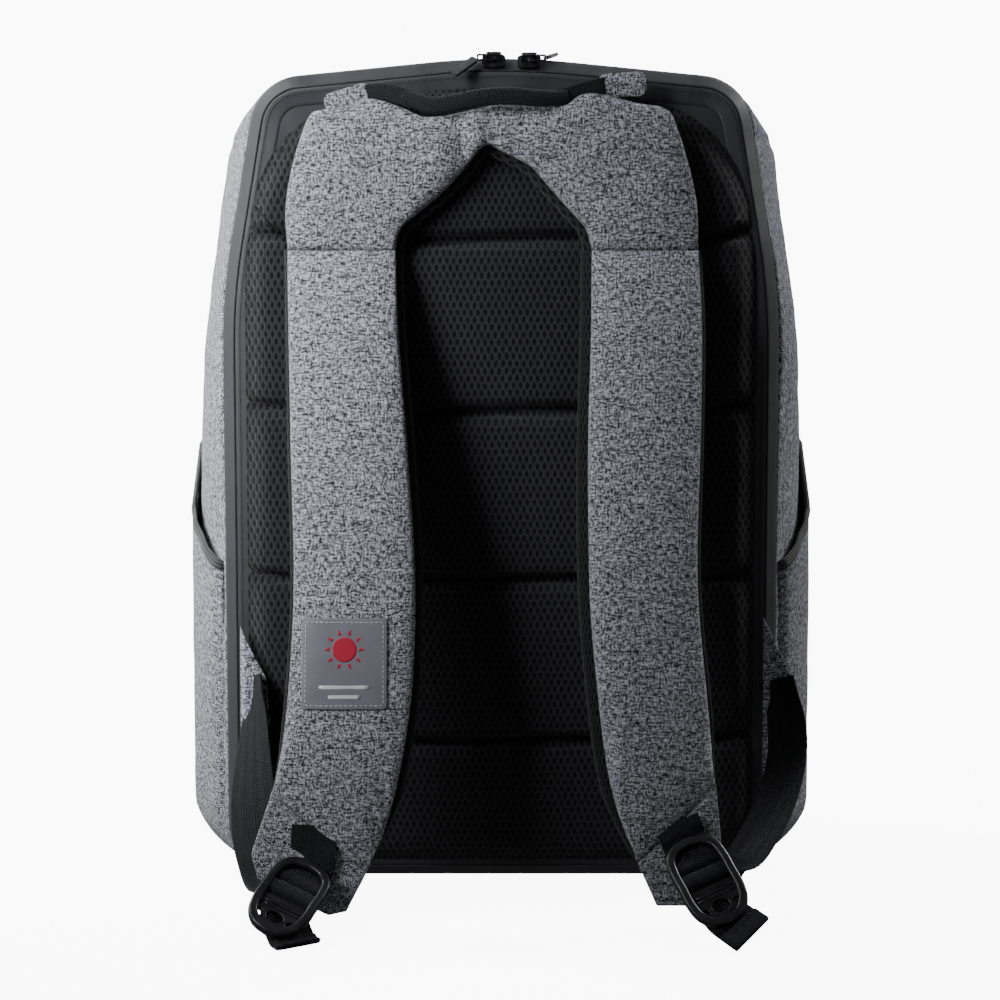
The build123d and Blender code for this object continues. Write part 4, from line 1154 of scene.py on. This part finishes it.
def moulded_plate(name, outline, holes, thickness, ease):
    """Flat moulding with holes and eased edges, in its own plane."""
    curve = bpy.data.curves.new(name, "CURVE")
    curve.dimensions, curve.fill_mode = "2D", "BOTH"
    curve.extrude, curve.bevel_depth = (thickness / 2 - ease) * MM, ease * MM
    curve.bevel_resolution = 3
    curve.offset = -ease * MM
    for loop in (outline, *holes):
        spline = curve.splines.new("POLY")
        spline.points.add(len(loop) - 1)
        for point, (x, y) in zip(spline.points, loop):
            point.co = (x * MM, y * MM, 0, 1)
        spline.use_cyclic_u = True
    drawn = linked(name, curve)
    bpy.context.view_layer.update()
    graph = bpy.context.evaluated_depsgraph_get()
    mesh = bpy.data.meshes.new_from_object(drawn.evaluated_get(graph))
    bpy.data.objects.remove(drawn)
    return linked(name, mesh)


def ring_of(centre, across, tall):
    """An oval of 24 points."""
    angle = np.linspace(0, 2 * math.pi, 24, endpoint=False)
    return np.array(centre) + heading(angle) * (across, tall)


# centre, half width and half height
LEVER_HOLES = ((0, -33.2), 4.7, 3.7), ((9.4, -34.2), 2.4, 2.2), ((-9.4, -34.2), 2.4, 2.2)


def ladder_lock(side):
    """Ladder lock: stirrup frame with an arched top, two crossbars and a thumb lever with holes."""
    body = f"strap_{side}"
    origin, axes = lock_axes(side)
    lock = Cloth()

    def bar(path, section):
        add_sweep(lock, in_lock(side, path), axes[2], section)

    half = LOCK_WIDTH / 2 - 2.6
    right = smooth((
        (0, 6.4, 2.6), (half * 0.55, 4.6, 2.7), (half * 0.9, -0.5, 2.8), (half, -8, 2.8),
        (half, -17, 2.5), (half, -27, 1.7), (half * 0.86, -35, 1.0), (half * 0.5, -40.4, 0.7),
        (0, -42.2, 0.6),
    ), 48)
    left = right[::-1] * (-1, 1, 1)
    frame_loop = np.vstack([right, left[1:]])
    rings = sections_along(in_lock(side, frame_loop), axes[2], superellipse(5.2, 5.0, 3.2, 20))
    rings[-1] = rings[0]
    lock.grid(rings)
    for y, height in ((-6.8, 0.2), (-14.8, 0.6), (-21.6, 0.4)):
        bar([(x, y, height) for x in np.linspace(-half, half, 9)], superellipse(3.2, 3.2, 2.6, 14))
    lock.put(f"ladder_lock_{side}_frame", "buckle_plastic", body, f"ladder_lock_{side}")

    edge = [(half, -22), (half, -28), (half * 0.86, -35), (half * 0.5, -40.4), (0, -42)]
    outline = smooth(edge + [(-x, y) for x, y in edge[-2::-1]], 50)
    holes = [ring_of(*hole) for hole in LEVER_HOLES]
    lever = moulded_plate(f"ladder_lock_{side}_lever", outline, holes, 3.0, 0.6)
    lever.data.materials.append(FINISHES["buckle_plastic"])
    turn = Matrix.Identity(4)
    for row in range(3):
        turn[row][0], turn[row][1], turn[row][2] = (float(axes[i][row]) for i in range(3))
        turn[row][3] = float(origin[row]) * MM
    lever.data.transform(turn)
    place(lever, body, "buckle_plastic")

    ribs = Cloth()
    for y in (-25.0, -27.4):
        line = in_lock(side, [(x, y, 1.6) for x in np.linspace(-half + 3, half - 3, 7)])
        add_sweep(ribs, line, axes[2], superellipse(1.2, 1.4, 2.0, 8))
    ribs.put(f"ladder_lock_{side}_ribs", "buckle_plastic", body)


def bars_way(side):
    return lock_axes(side)[1][0]


ANCHOR_LOOP = (
    (0, 9, -0.6), (0, 5.5, -1.0), (0, 1, 0.4), (0, -3.6, 1.9), (0, -6.8, 2.7), (0, -9.2, 0.8),
    (0, -7.8, -2.2), (0, -2, -3.0), (0, 5, -3.2),
)


def anchor(side):
    """Webbing from the strap's end seam, behind the arch and round the lock's upper crossbar."""
    edges = cut_edges(side)
    share = 0.46 if side == "left" else 0.5
    seam = edges["inner"][0][-1] * share + edges["outer"][0][-1] * (1 - share)
    start = on_strap(seam[0], seam[1] + 3.0, 1.6)
    loop = in_lock(side, ANCHOR_LOOP)
    path = smooth(np.vstack([start, start * 0.5 + loop[0] * 0.5 - (0, 1.2, 0), loop]), 90)
    turned = np.array(edges["outer"][0][-1] - edges["inner"][0][-1])
    seam_way = np.array([turned[0], 0, turned[1]]) / np.linalg.norm(turned)
    bars = bars_way(side)
    seam_way *= np.sign(seam_way @ bars)
    share = np.clip(run_length(path) / 22, 0, 1)[:, None]
    webbing = tape(f"anchor_webbing_{side}_strip", path, seam_way * (1 - share) + bars * share, 24.0)
    place(webbing, f"strap_{side}", "webbing", f"anchor_webbing_{side}")


WEBBING_ROUTE = {
    # centre line from the wing to behind the lock (X, depth, Z), and the way across it at both ends
    "left": (
        ((-138.5, -12.5, 118), (-137.5, -17, 104), (-137, -30, 82), (-135, -52, 55), (-129, -78, 31),
         (-119, -98, 17)),
        ((-0.40, 0.85, 0.3), (0.80, -0.15, -0.55)),
    ),
    "right": (
        ((155, -7.5, 116), (158, -11, 102), (158.5, -30, 82), (150, -55, 60), (136, -80, 42),
         (121, -100, 31)),
        ((-0.65, 0.72, -0.2), (-0.80, -0.2, -0.5)),
    ),
}
THREADED = (
    (0, -12, -7), (0, -10.8, -3.4), (0, -10.5, 0.2), (0, -11.6, 2.9), (0, -14.8, 3.6), (0, -18.0, 2.6),
    (0, -18.9, -1.0), (0, -21, -3.2), (0, -24, -4.0),
)
# centre line of each loose end below the lock, and how far it is turned in the lock's plane
TAIL_CURL = {
    "left": (((0, -20.5, -4.0), (3, -26, -5.6), (9, -32, -6.4), (14, -37, -5.0), (18, -40, -2.0)), 0.75),
    "right": (((0, -20.5, -4.0), (0.5, -30, -5.4), (1.5, -38, -5.0), (3, -44, -2.6), (5, -50, -0.6),
               (7, -55, 0.4)), 0.25),
}


def lower_webbing(side):
    """Adjusting webbing from the wing down to the lock, over its bar and out behind the lever."""
    route, (first, last) = WEBBING_ROUTE[side]
    route = [(x, BACK_Y + depth, z) for x, depth, z in route]
    path = np.vstack([route, in_lock(side, THREADED)])
    line = smooth(path, 150)
    bars = bars_way(side)
    last = bars * np.sign(np.array(last) @ bars)
    first = np.array(first) * np.sign(np.array(first) @ last)
    share = np.clip(run_length(line) / run_length(smooth(route, 80))[-1], 0, 1)[:, None]
    share = share * share * (3 - 2 * share)
    across = first * (1 - share) + last * share
    piece = tape(f"lower_webbing_{side}_strip", line, across)
    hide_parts(f"lower_webbing_{side}")
    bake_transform(piece)

    curl, twist = TAIL_CURL[side]
    line = smooth(in_lock(side, curl), 40)
    axes = lock_axes(side)[1]
    angle = twist * np.clip(np.linspace(0, 1.6, 40), 0, 1)[:, None]
    across = np.cos(angle) * axes[0] + np.sin(angle) * axes[1]
    tail = tape(f"webbing_tail_{side}_strip", line, across)
    place(tail, f"tail_{side}", "webbing", f"webbing_tail_{side}")
    fold = line[-12:] + axes[2] * (WEBBING + 0.1)
    hem = tape(f"webbing_tail_{side}_hem", fold, across[-12:])
    place(hem, f"tail_{side}", "webbing")


# ---------------------------------------------------------------- carry handle
# centre and tilt of each fabric tab
HANDLE_TABS = {"left": ((-83.0, 436.3), 0.30), "right": ((66.0, 444.5), 0.05)}
GRIP_PATH = (
    (-74, -14.2, 440), (-62.7, -16.5, 440.0), (-49, -20, 436.5), (-38, -23, 432.8), (-26.5, -25, 433.8),
    (-11, -26.5, 436.8), (5, -26.5, 437.6), (21, -25, 436.6), (32, -22, 437.2), (42.7, -18.5, 440.4),
    (56, -15.2, 444),
)


def handle():
    """Padded webbing grip between two fabric tabs that go under the yoke."""
    path = smooth([(x, BACK_Y + depth, z) for x, depth, z in GRIP_PATH], 90)
    inner = path[14:-14]
    share = np.linspace(-1, 1, len(inner))
    swell = 1 - 0.28 * np.abs(share) ** 6
    section = superellipse(9.4, 5.4, 2.8, 24)
    grip = sweep("handle_grip_pad", "webbing", inner, (0, 0, 1), section, True, swell)
    place(grip, "handle", "webbing", "handle_grip")
    for side, stretch in (("left", path[:20]), ("right", path[-20:])):
        strip = tape(f"handle_webbing_{side}", stretch, (0, 0, 1), 9.0, 1.8)
        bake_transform(strip)
        if side == "left":
            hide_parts("handle_webbing")
        handle_tab(side)


def handle_tab(side):
    """Padded fabric tab at one end of the handle."""
    centre, tilt = HANDLE_TABS[side]

    def surface(x, z, lift):
        crown = 1.3
        for away in ((x - centre[0]) / 15, (z - centre[1]) / 7):
            crown = crown * np.clip(1 - away**4, 0, 1)
        return spots(x, BACK_Y - PAD_FRONT - 1.2 - crown - lift, z)

    turn = np.array([[math.cos(tilt), math.sin(tilt)], [-math.sin(tilt), math.cos(tilt)]])
    outline = box_outline((0, 0), (26, 13.0), 4.2) @ turn + centre
    tab = face_patch(Cloth(), evenly(outline, 80), surface, 1.2, 3.0, 10)
    tab.put(f"handle_tab_{side}_cloth", "heather_fabric", "back_panel", f"handle_tab_{side}")


# ---------------------------------------------------------------- front pocket, side pockets and interior
FRONT_EDGE_RADIUS = 14.0
FRONT_EDGE_INSET = FRONT_EDGE_RADIUS * 0.55
SHOULDER_POINT = 300    # a point of the outline just below its left shoulder


def closed_by_disc(cloth, rim, rings, shift):
    """Adds the flat face inside a ring of points."""
    face = disc_grid(rim[:, [0, 2]], rings)
    cloth.grid(spots(face[..., 0], rim[0, 1], face[..., 1]), face + shift)


def front_pocket():
    """Skin of the front compartment: lofted sides, a rounded front edge and the flat face."""
    depths = np.linspace(POCKET_START, FRONT_DEPTH - FRONT_EDGE_RADIUS, 20)
    sides = softened(np.stack([ring(POCKET_LOFT, depth) for depth in depths]), 0.8, 70, 13)
    rounded = []
    for turn in np.linspace(0, math.pi / 2, 9)[1:]:
        depth = FRONT_DEPTH - FRONT_EDGE_RADIUS * (1 - math.sin(turn))
        rounded.append(ring(POCKET_LOFT, depth, FRONT_EDGE_INSET * (1 - math.cos(turn))))
    rings = np.vstack([sides, rounded])
    skin = Cloth().grid(rings, spread(RING_FLAT, run_length(rings[:, SHOULDER_POINT])))
    closed_by_disc(skin, rings[-1], 30, (400, 600))
    skin.put("front_pocket_skin", "heather_fabric", "bag", "front_pocket_shell")

    depths = np.linspace(POCKET_START, FRONT_DEPTH - 5, 12)
    inner = np.stack([ring(POCKET_LOFT, depth, 3.0) for depth in depths])
    lining = Cloth().grid(inner, spread(RING_FLAT, np.linspace(0, 54, 12)))
    closed_by_disc(lining, inner[-1], 20, 300)
    lining.put("front_pocket_lining", "lining_fabric", "bag")

    groove = ring(POCKET_LOFT, POCKET_START - 1.0, -0.6)
    groove[:, 2] = np.maximum(groove[:, 2], 2.3)
    cord = superellipse(4.4, 4.4, 2.0, 12)
    piping = sweep("front_piping", "coated_fabric", groove, (0, -1, 0), cord, False)
    place(piping, "bag", "coated_fabric")
    seam = ring(POCKET_LOFT, FRONT_DEPTH - 0.6, FRONT_EDGE_INSET + 2.0) + (0, 0.9, 0)
    stitches("front_stitches", "bag", seam, (0, 1, 0), (3.4, 2.4, 0.3))


def inside_sheet(name, outline, y, thickness, node):
    """A thin flat lining panel inside the bag."""
    face = disc_grid(outline, 24)
    x, z = face[..., 0], face[..., 1]
    front = spots(x, y + 0.25 * flat_ripple(x, z, 70, 17) - thickness / 2, z)
    back = front + (0, thickness, 0)
    sheet = Cloth().grid(front, face + 300).wall(front[0], back[0], face[0]).grid(back, face + 300)
    sheet.put(name, "lining_fabric", "bag", node)


def interior():
    """Divider towards the front compartment and the laptop sleeve with its bound edge."""
    divider = bag_outline(SEAM, 0.9)
    inside_sheet("divider_lining", divider, BACK_Y + SEAM_DEPTH + 1.0, 1.6, "divider_panel")
    sleeve = box_outline((0, 177), (274, 304), 12.0)
    inside_sheet("sleeve_cloth", evenly(sleeve, 300), BACK_Y + 89.0, 20.0, "laptop_sleeve")
    edge = [(x, BACK_Y + 78.6, 328.0) for x in np.linspace(-130, 130, 60)]
    binding = sweep("sleeve_binding", "coated_fabric", edge, (0, -1, 0), superellipse(3.0, 7.0, 3.0, 12))
    place(binding, "bag", "coated_fabric")


POCKET_BACK, POCKET_FRONT_EDGE = 12.0, 96.0
POCKET_FOOT, POCKET_MOUTH, MOUTH_SLOPE = 5.0, 178.0, 0.85
POCKET_REACH = 179.0
ELASTIC_HEIGHT = 6.0
FOOT_RADIUS = 36


def bag_side(depth, z):
    """Half width of the bag's side at a depth and height below its waist."""
    shapes, depths = MAIN_LOFT
    half = blended([shape[0] for shape in shapes], depths, depth)
    foot = np.clip((FOOT_RADIUS - z) / FOOT_RADIUS, 0, 1)
    return half - FOOT_RADIUS * (1 - np.sqrt(1 - foot**2))


def side_pocket(side):
    """Slack stretch pocket on the side panel, gathered by its elastic, open at the top."""
    sign = -1 if side == "left" else 1
    depth = np.linspace(POCKET_BACK, POCKET_FRONT_EDGE, 46)
    rise = np.linspace(0, 1, 60)
    share = (depth - POCKET_BACK) / (POCKET_FRONT_EDGE - POCKET_BACK)
    depths, rises = np.meshgrid(depth, rise)
    mouth = POCKET_MOUTH + MOUTH_SLOPE * (depths - POCKET_BACK)
    z = POCKET_FOOT + rises * (mouth - POCKET_FOOT)
    wall = bag_side(depths, np.minimum(z, 200))
    plan = np.sin(np.clip(share, 0, 1) * math.pi)[None, :] ** 0.35
    stand = (2.0 + 6.3 * np.clip(rises * 6, 0, 1) * (1 - 0.12 * rises)) * plan
    gather = 0.5 * np.sin(depths / 2.6 + 1.5 * np.sin(z / 30)) * bump_at(rises, 1.0, 0.12)
    slack = 0.7 * flat_ripple(depths, z, 45, 41 if side == "left" else 43)
    x = np.minimum(wall + stand + (gather + slack) * plan, POCKET_REACH)
    outer = spots(sign * x, BACK_Y + depths, z)
    inner = outer - (sign * 1.6, 0, 0)
    cloth = Cloth().grid(outer).grid(inner)
    for edge in (np.s_[0], np.s_[-1], np.s_[:, 0], np.s_[:, -1]):
        cloth.grid(np.stack([outer[edge], inner[edge]]))
    cloth.put(f"side_pocket_{side}_cloth", "heather_fabric", "bag", f"side_pocket_{side}")

    lip = outer[-1] - (sign * 0.8, 0, 0)
    section = superellipse(ELASTIC_HEIGHT, 2.6, 3.2, 16)
    trim = sweep(f"pocket_{side}_elastic", "elastic", lip - (0, 0, 1.0), (0, 0, 1), section)
    place(trim, "bag", "elastic", f"pocket_elastic_{side}")


# ---------------------------------------------------------------- CAD nodes that stay on show
SHOWN_NODES = {
    "zip_metal": ("zip_slider_left", "zip_slider_right", "zip_link_left", "zip_link_right",
                  "front_zip_slider"),
    "pull_rubber": ("zip_tab_left", "zip_tab_right", "front_zip_pull"),
    "zip_coil": ("front_zip_track",),
    "solar_front": ("solar_laminate",),
    "solar_cell": ("solar_cells",),
    "module_border": ("solar_border",),
    "box_plastic": ("junction_box", "junction_box_lid", "usb_housing"),
    "lead_sheath": ("panel_lead",),
    "usb_metal": ("usb_socket",),
    "port_rubber": ("usb_cover",),
}
EDGE_SOFTENING = {
    "zip_metal": 0.35, "pull_rubber": 0.45, "box_plastic": 0.8, "port_rubber": 0.6, "usb_metal": 0.1,
}


def finish_cad_nodes():
    """Detailed materials and eased edges for the hard parts, which stay as the CAD made them."""
    for finish, nodes in SHOWN_NODES.items():
        for name in nodes:
            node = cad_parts[name]
            node.data.materials.clear()
            node.data.materials.append(FINISHES[finish])
            if finish in EDGE_SOFTENING:
                weld = node.modifiers.new("weld", "WELD")
                weld.merge_threshold = 0.001 * MM
                bevel = node.modifiers.new("edges", "BEVEL")
                bevel.width = EDGE_SOFTENING[finish] * MM
                bevel.segments = 3
                bevel.limit_method = "ANGLE"
                bevel.angle_limit = math.radians(40)
                bevel.harden_normals = True


FRONT_ZIP_Z, FRONT_ZIP_HALF, FRONT_ZIP_POINTS = 391.0, 79, 4 * 105
MODULE_CENTRE, MODULE_SEAM = (0, 222), (224, 304)


def front_zip():
    """Teeth and stitching of the front zip, and the stitched edge of the solar module."""
    front = BACK_Y + FRONT_DEPTH
    rod = superellipse(1.3, 1.3, 2.0, 6)
    for name, sign in (("front_teeth_lower", -1), ("front_teeth_upper", 1)):
        x = np.linspace(-FRONT_ZIP_HALF, FRONT_ZIP_HALF, FRONT_ZIP_POINTS)
        line = spots(x, front + 0.6 + 0.9, FRONT_ZIP_Z + sign * 0.8)
        swell = tooth_swell(FRONT_ZIP_POINTS, sign)
        place(sweep(name, "zip_coil", line, (0, 0, 1), rod, True, swell), "bag", "zip_coil")
    x, z = evenly(box_outline(MODULE_CENTRE, MODULE_SEAM, 11.0), 400).T
    stitches("module_stitches", "bag", spots(x, front + 1.25, z), (0, 1, 0), (3.2, 2.2, 0.28))


# ---------------------------------------------------------------- floor, lights and camera
CAMERA_TARGET = Vector((-0.00056, -0.080, 0.216))
CAMERA_DISTANCE, CAMERA_RISE = 1.300, math.radians(6)
VIEW_WIDTH = 0.560
SENSOR = 36.0
BACKDROP_GLOW, WORLD_LIGHT = 9.0, 0.095


def floor_and_backdrop():
    """A pale seamless sweep: floor, then a curve up into the wall."""
    bend, radius = 1.6, 0.9
    turns = np.linspace(0.1, math.pi / 2, 14)
    curve = [(bend + radius * math.sin(a), radius - radius * math.cos(a)) for a in turns]
    profile = [(-4.0, 0.0), (bend, 0.0), *curve, (bend + radius, 4.0)]
    points = np.array([[(x, y, z) for x in (-4.0, 4.0)] for y, z in profile])
    faces = grid_faces(*points.shape[:2])
    mesh = bpy.data.meshes.new("floor")
    mesh.from_pydata(points.reshape(-1, 3).tolist(), [], faces.tolist())
    mesh.polygons.foreach_set("use_smooth", np.ones(len(mesh.polygons), bool))
    floor = linked("floor", mesh)
    paper = Finish("backdrop_paper", Roughness=0.9)
    fibre = paper.noise(paper.solid(4, 4, 4), 1.0, 2.0)
    paper.colour(fibre, (0.86, 0.86, 0.865), (0.88, 0.88, 0.885))
    paper.set("Emission Color", (1, 1, 1))
    paper.set("Emission Strength", BACKDROP_GLOW)
    mesh.materials.append(paper.material)
    floor.visible_diffuse = floor.visible_glossy = False


def area_light(name, position, target, size, power):
    light = bpy.data.lights.new(name, "AREA")
    light.shape, light.size, light.size_y = "RECTANGLE", size[0], size[1]
    light.energy = power
    lamp = linked(name, light)
    lamp.location = position
    lamp.rotation_euler = (Vector(target) - Vector(position)).to_track_quat("-Z", "Y").to_euler()
    lamp.visible_camera = False
    return lamp


def lighting():
    """A near, soft key from the upper left, a side light, a weak fill, and light on the backdrop."""
    key = area_light("key", (-0.57, -0.46, 0.63), (-0.26, -0.02, 0.37), (0.42, 0.5), 2.5)
    key.data.spread = math.radians(58)
    area_light("left_side", (-1.5, 0.15, 0.6), (-0.1, 0.0, 0.25), (0.5, 0.6), 3.8)
    area_light("fill", (0.5, -2.3, 0.8), (0, -0.08, 0.25), (1.4, 1.4), 1.2)
    area_light("backdrop_left", (-2.4, 1.2, 2.4), (0, 2.4, 0.9), (1.2, 1.2), 130)
    area_light("backdrop_right", (2.4, 1.2, 2.4), (0, 2.4, 0.9), (1.2, 1.2), 130)
    world = bpy.data.worlds.new("studio")
    world.use_nodes = True
    sky = world.node_tree.nodes["Background"]
    sky.inputs[0].default_value = (1, 1, 1, 1)
    sky.inputs[1].default_value = WORLD_LIGHT
    bpy.context.scene.world = world


def camera():
    data = bpy.data.cameras.new("camera")
    data.sensor_width = SENSOR
    data.lens = SENSOR * CAMERA_DISTANCE / VIEW_WIDTH
    lens = linked("camera", data)
    back = Vector((0, -math.cos(CAMERA_RISE), math.sin(CAMERA_RISE)))
    lens.location = CAMERA_TARGET + back * CAMERA_DISTANCE
    lens.rotation_euler = (-back).to_track_quat("-Z", "Y").to_euler()
    bpy.context.scene.camera = lens


# ---------------------------------------------------------------- the scene
bag_shell()
zip_bands()
back_mesh()
board_lining()
front_pocket()
interior()
yoke()
handle()
for side in ("left", "right"):
    straps(side)
    wing(side)
    ladder_lock(side)
    anchor(side)
    lower_webbing(side)
    side_pocket(side)
label()
front_zip()
finish_cad_nodes()

floor_and_backdrop()
lighting()
camera()
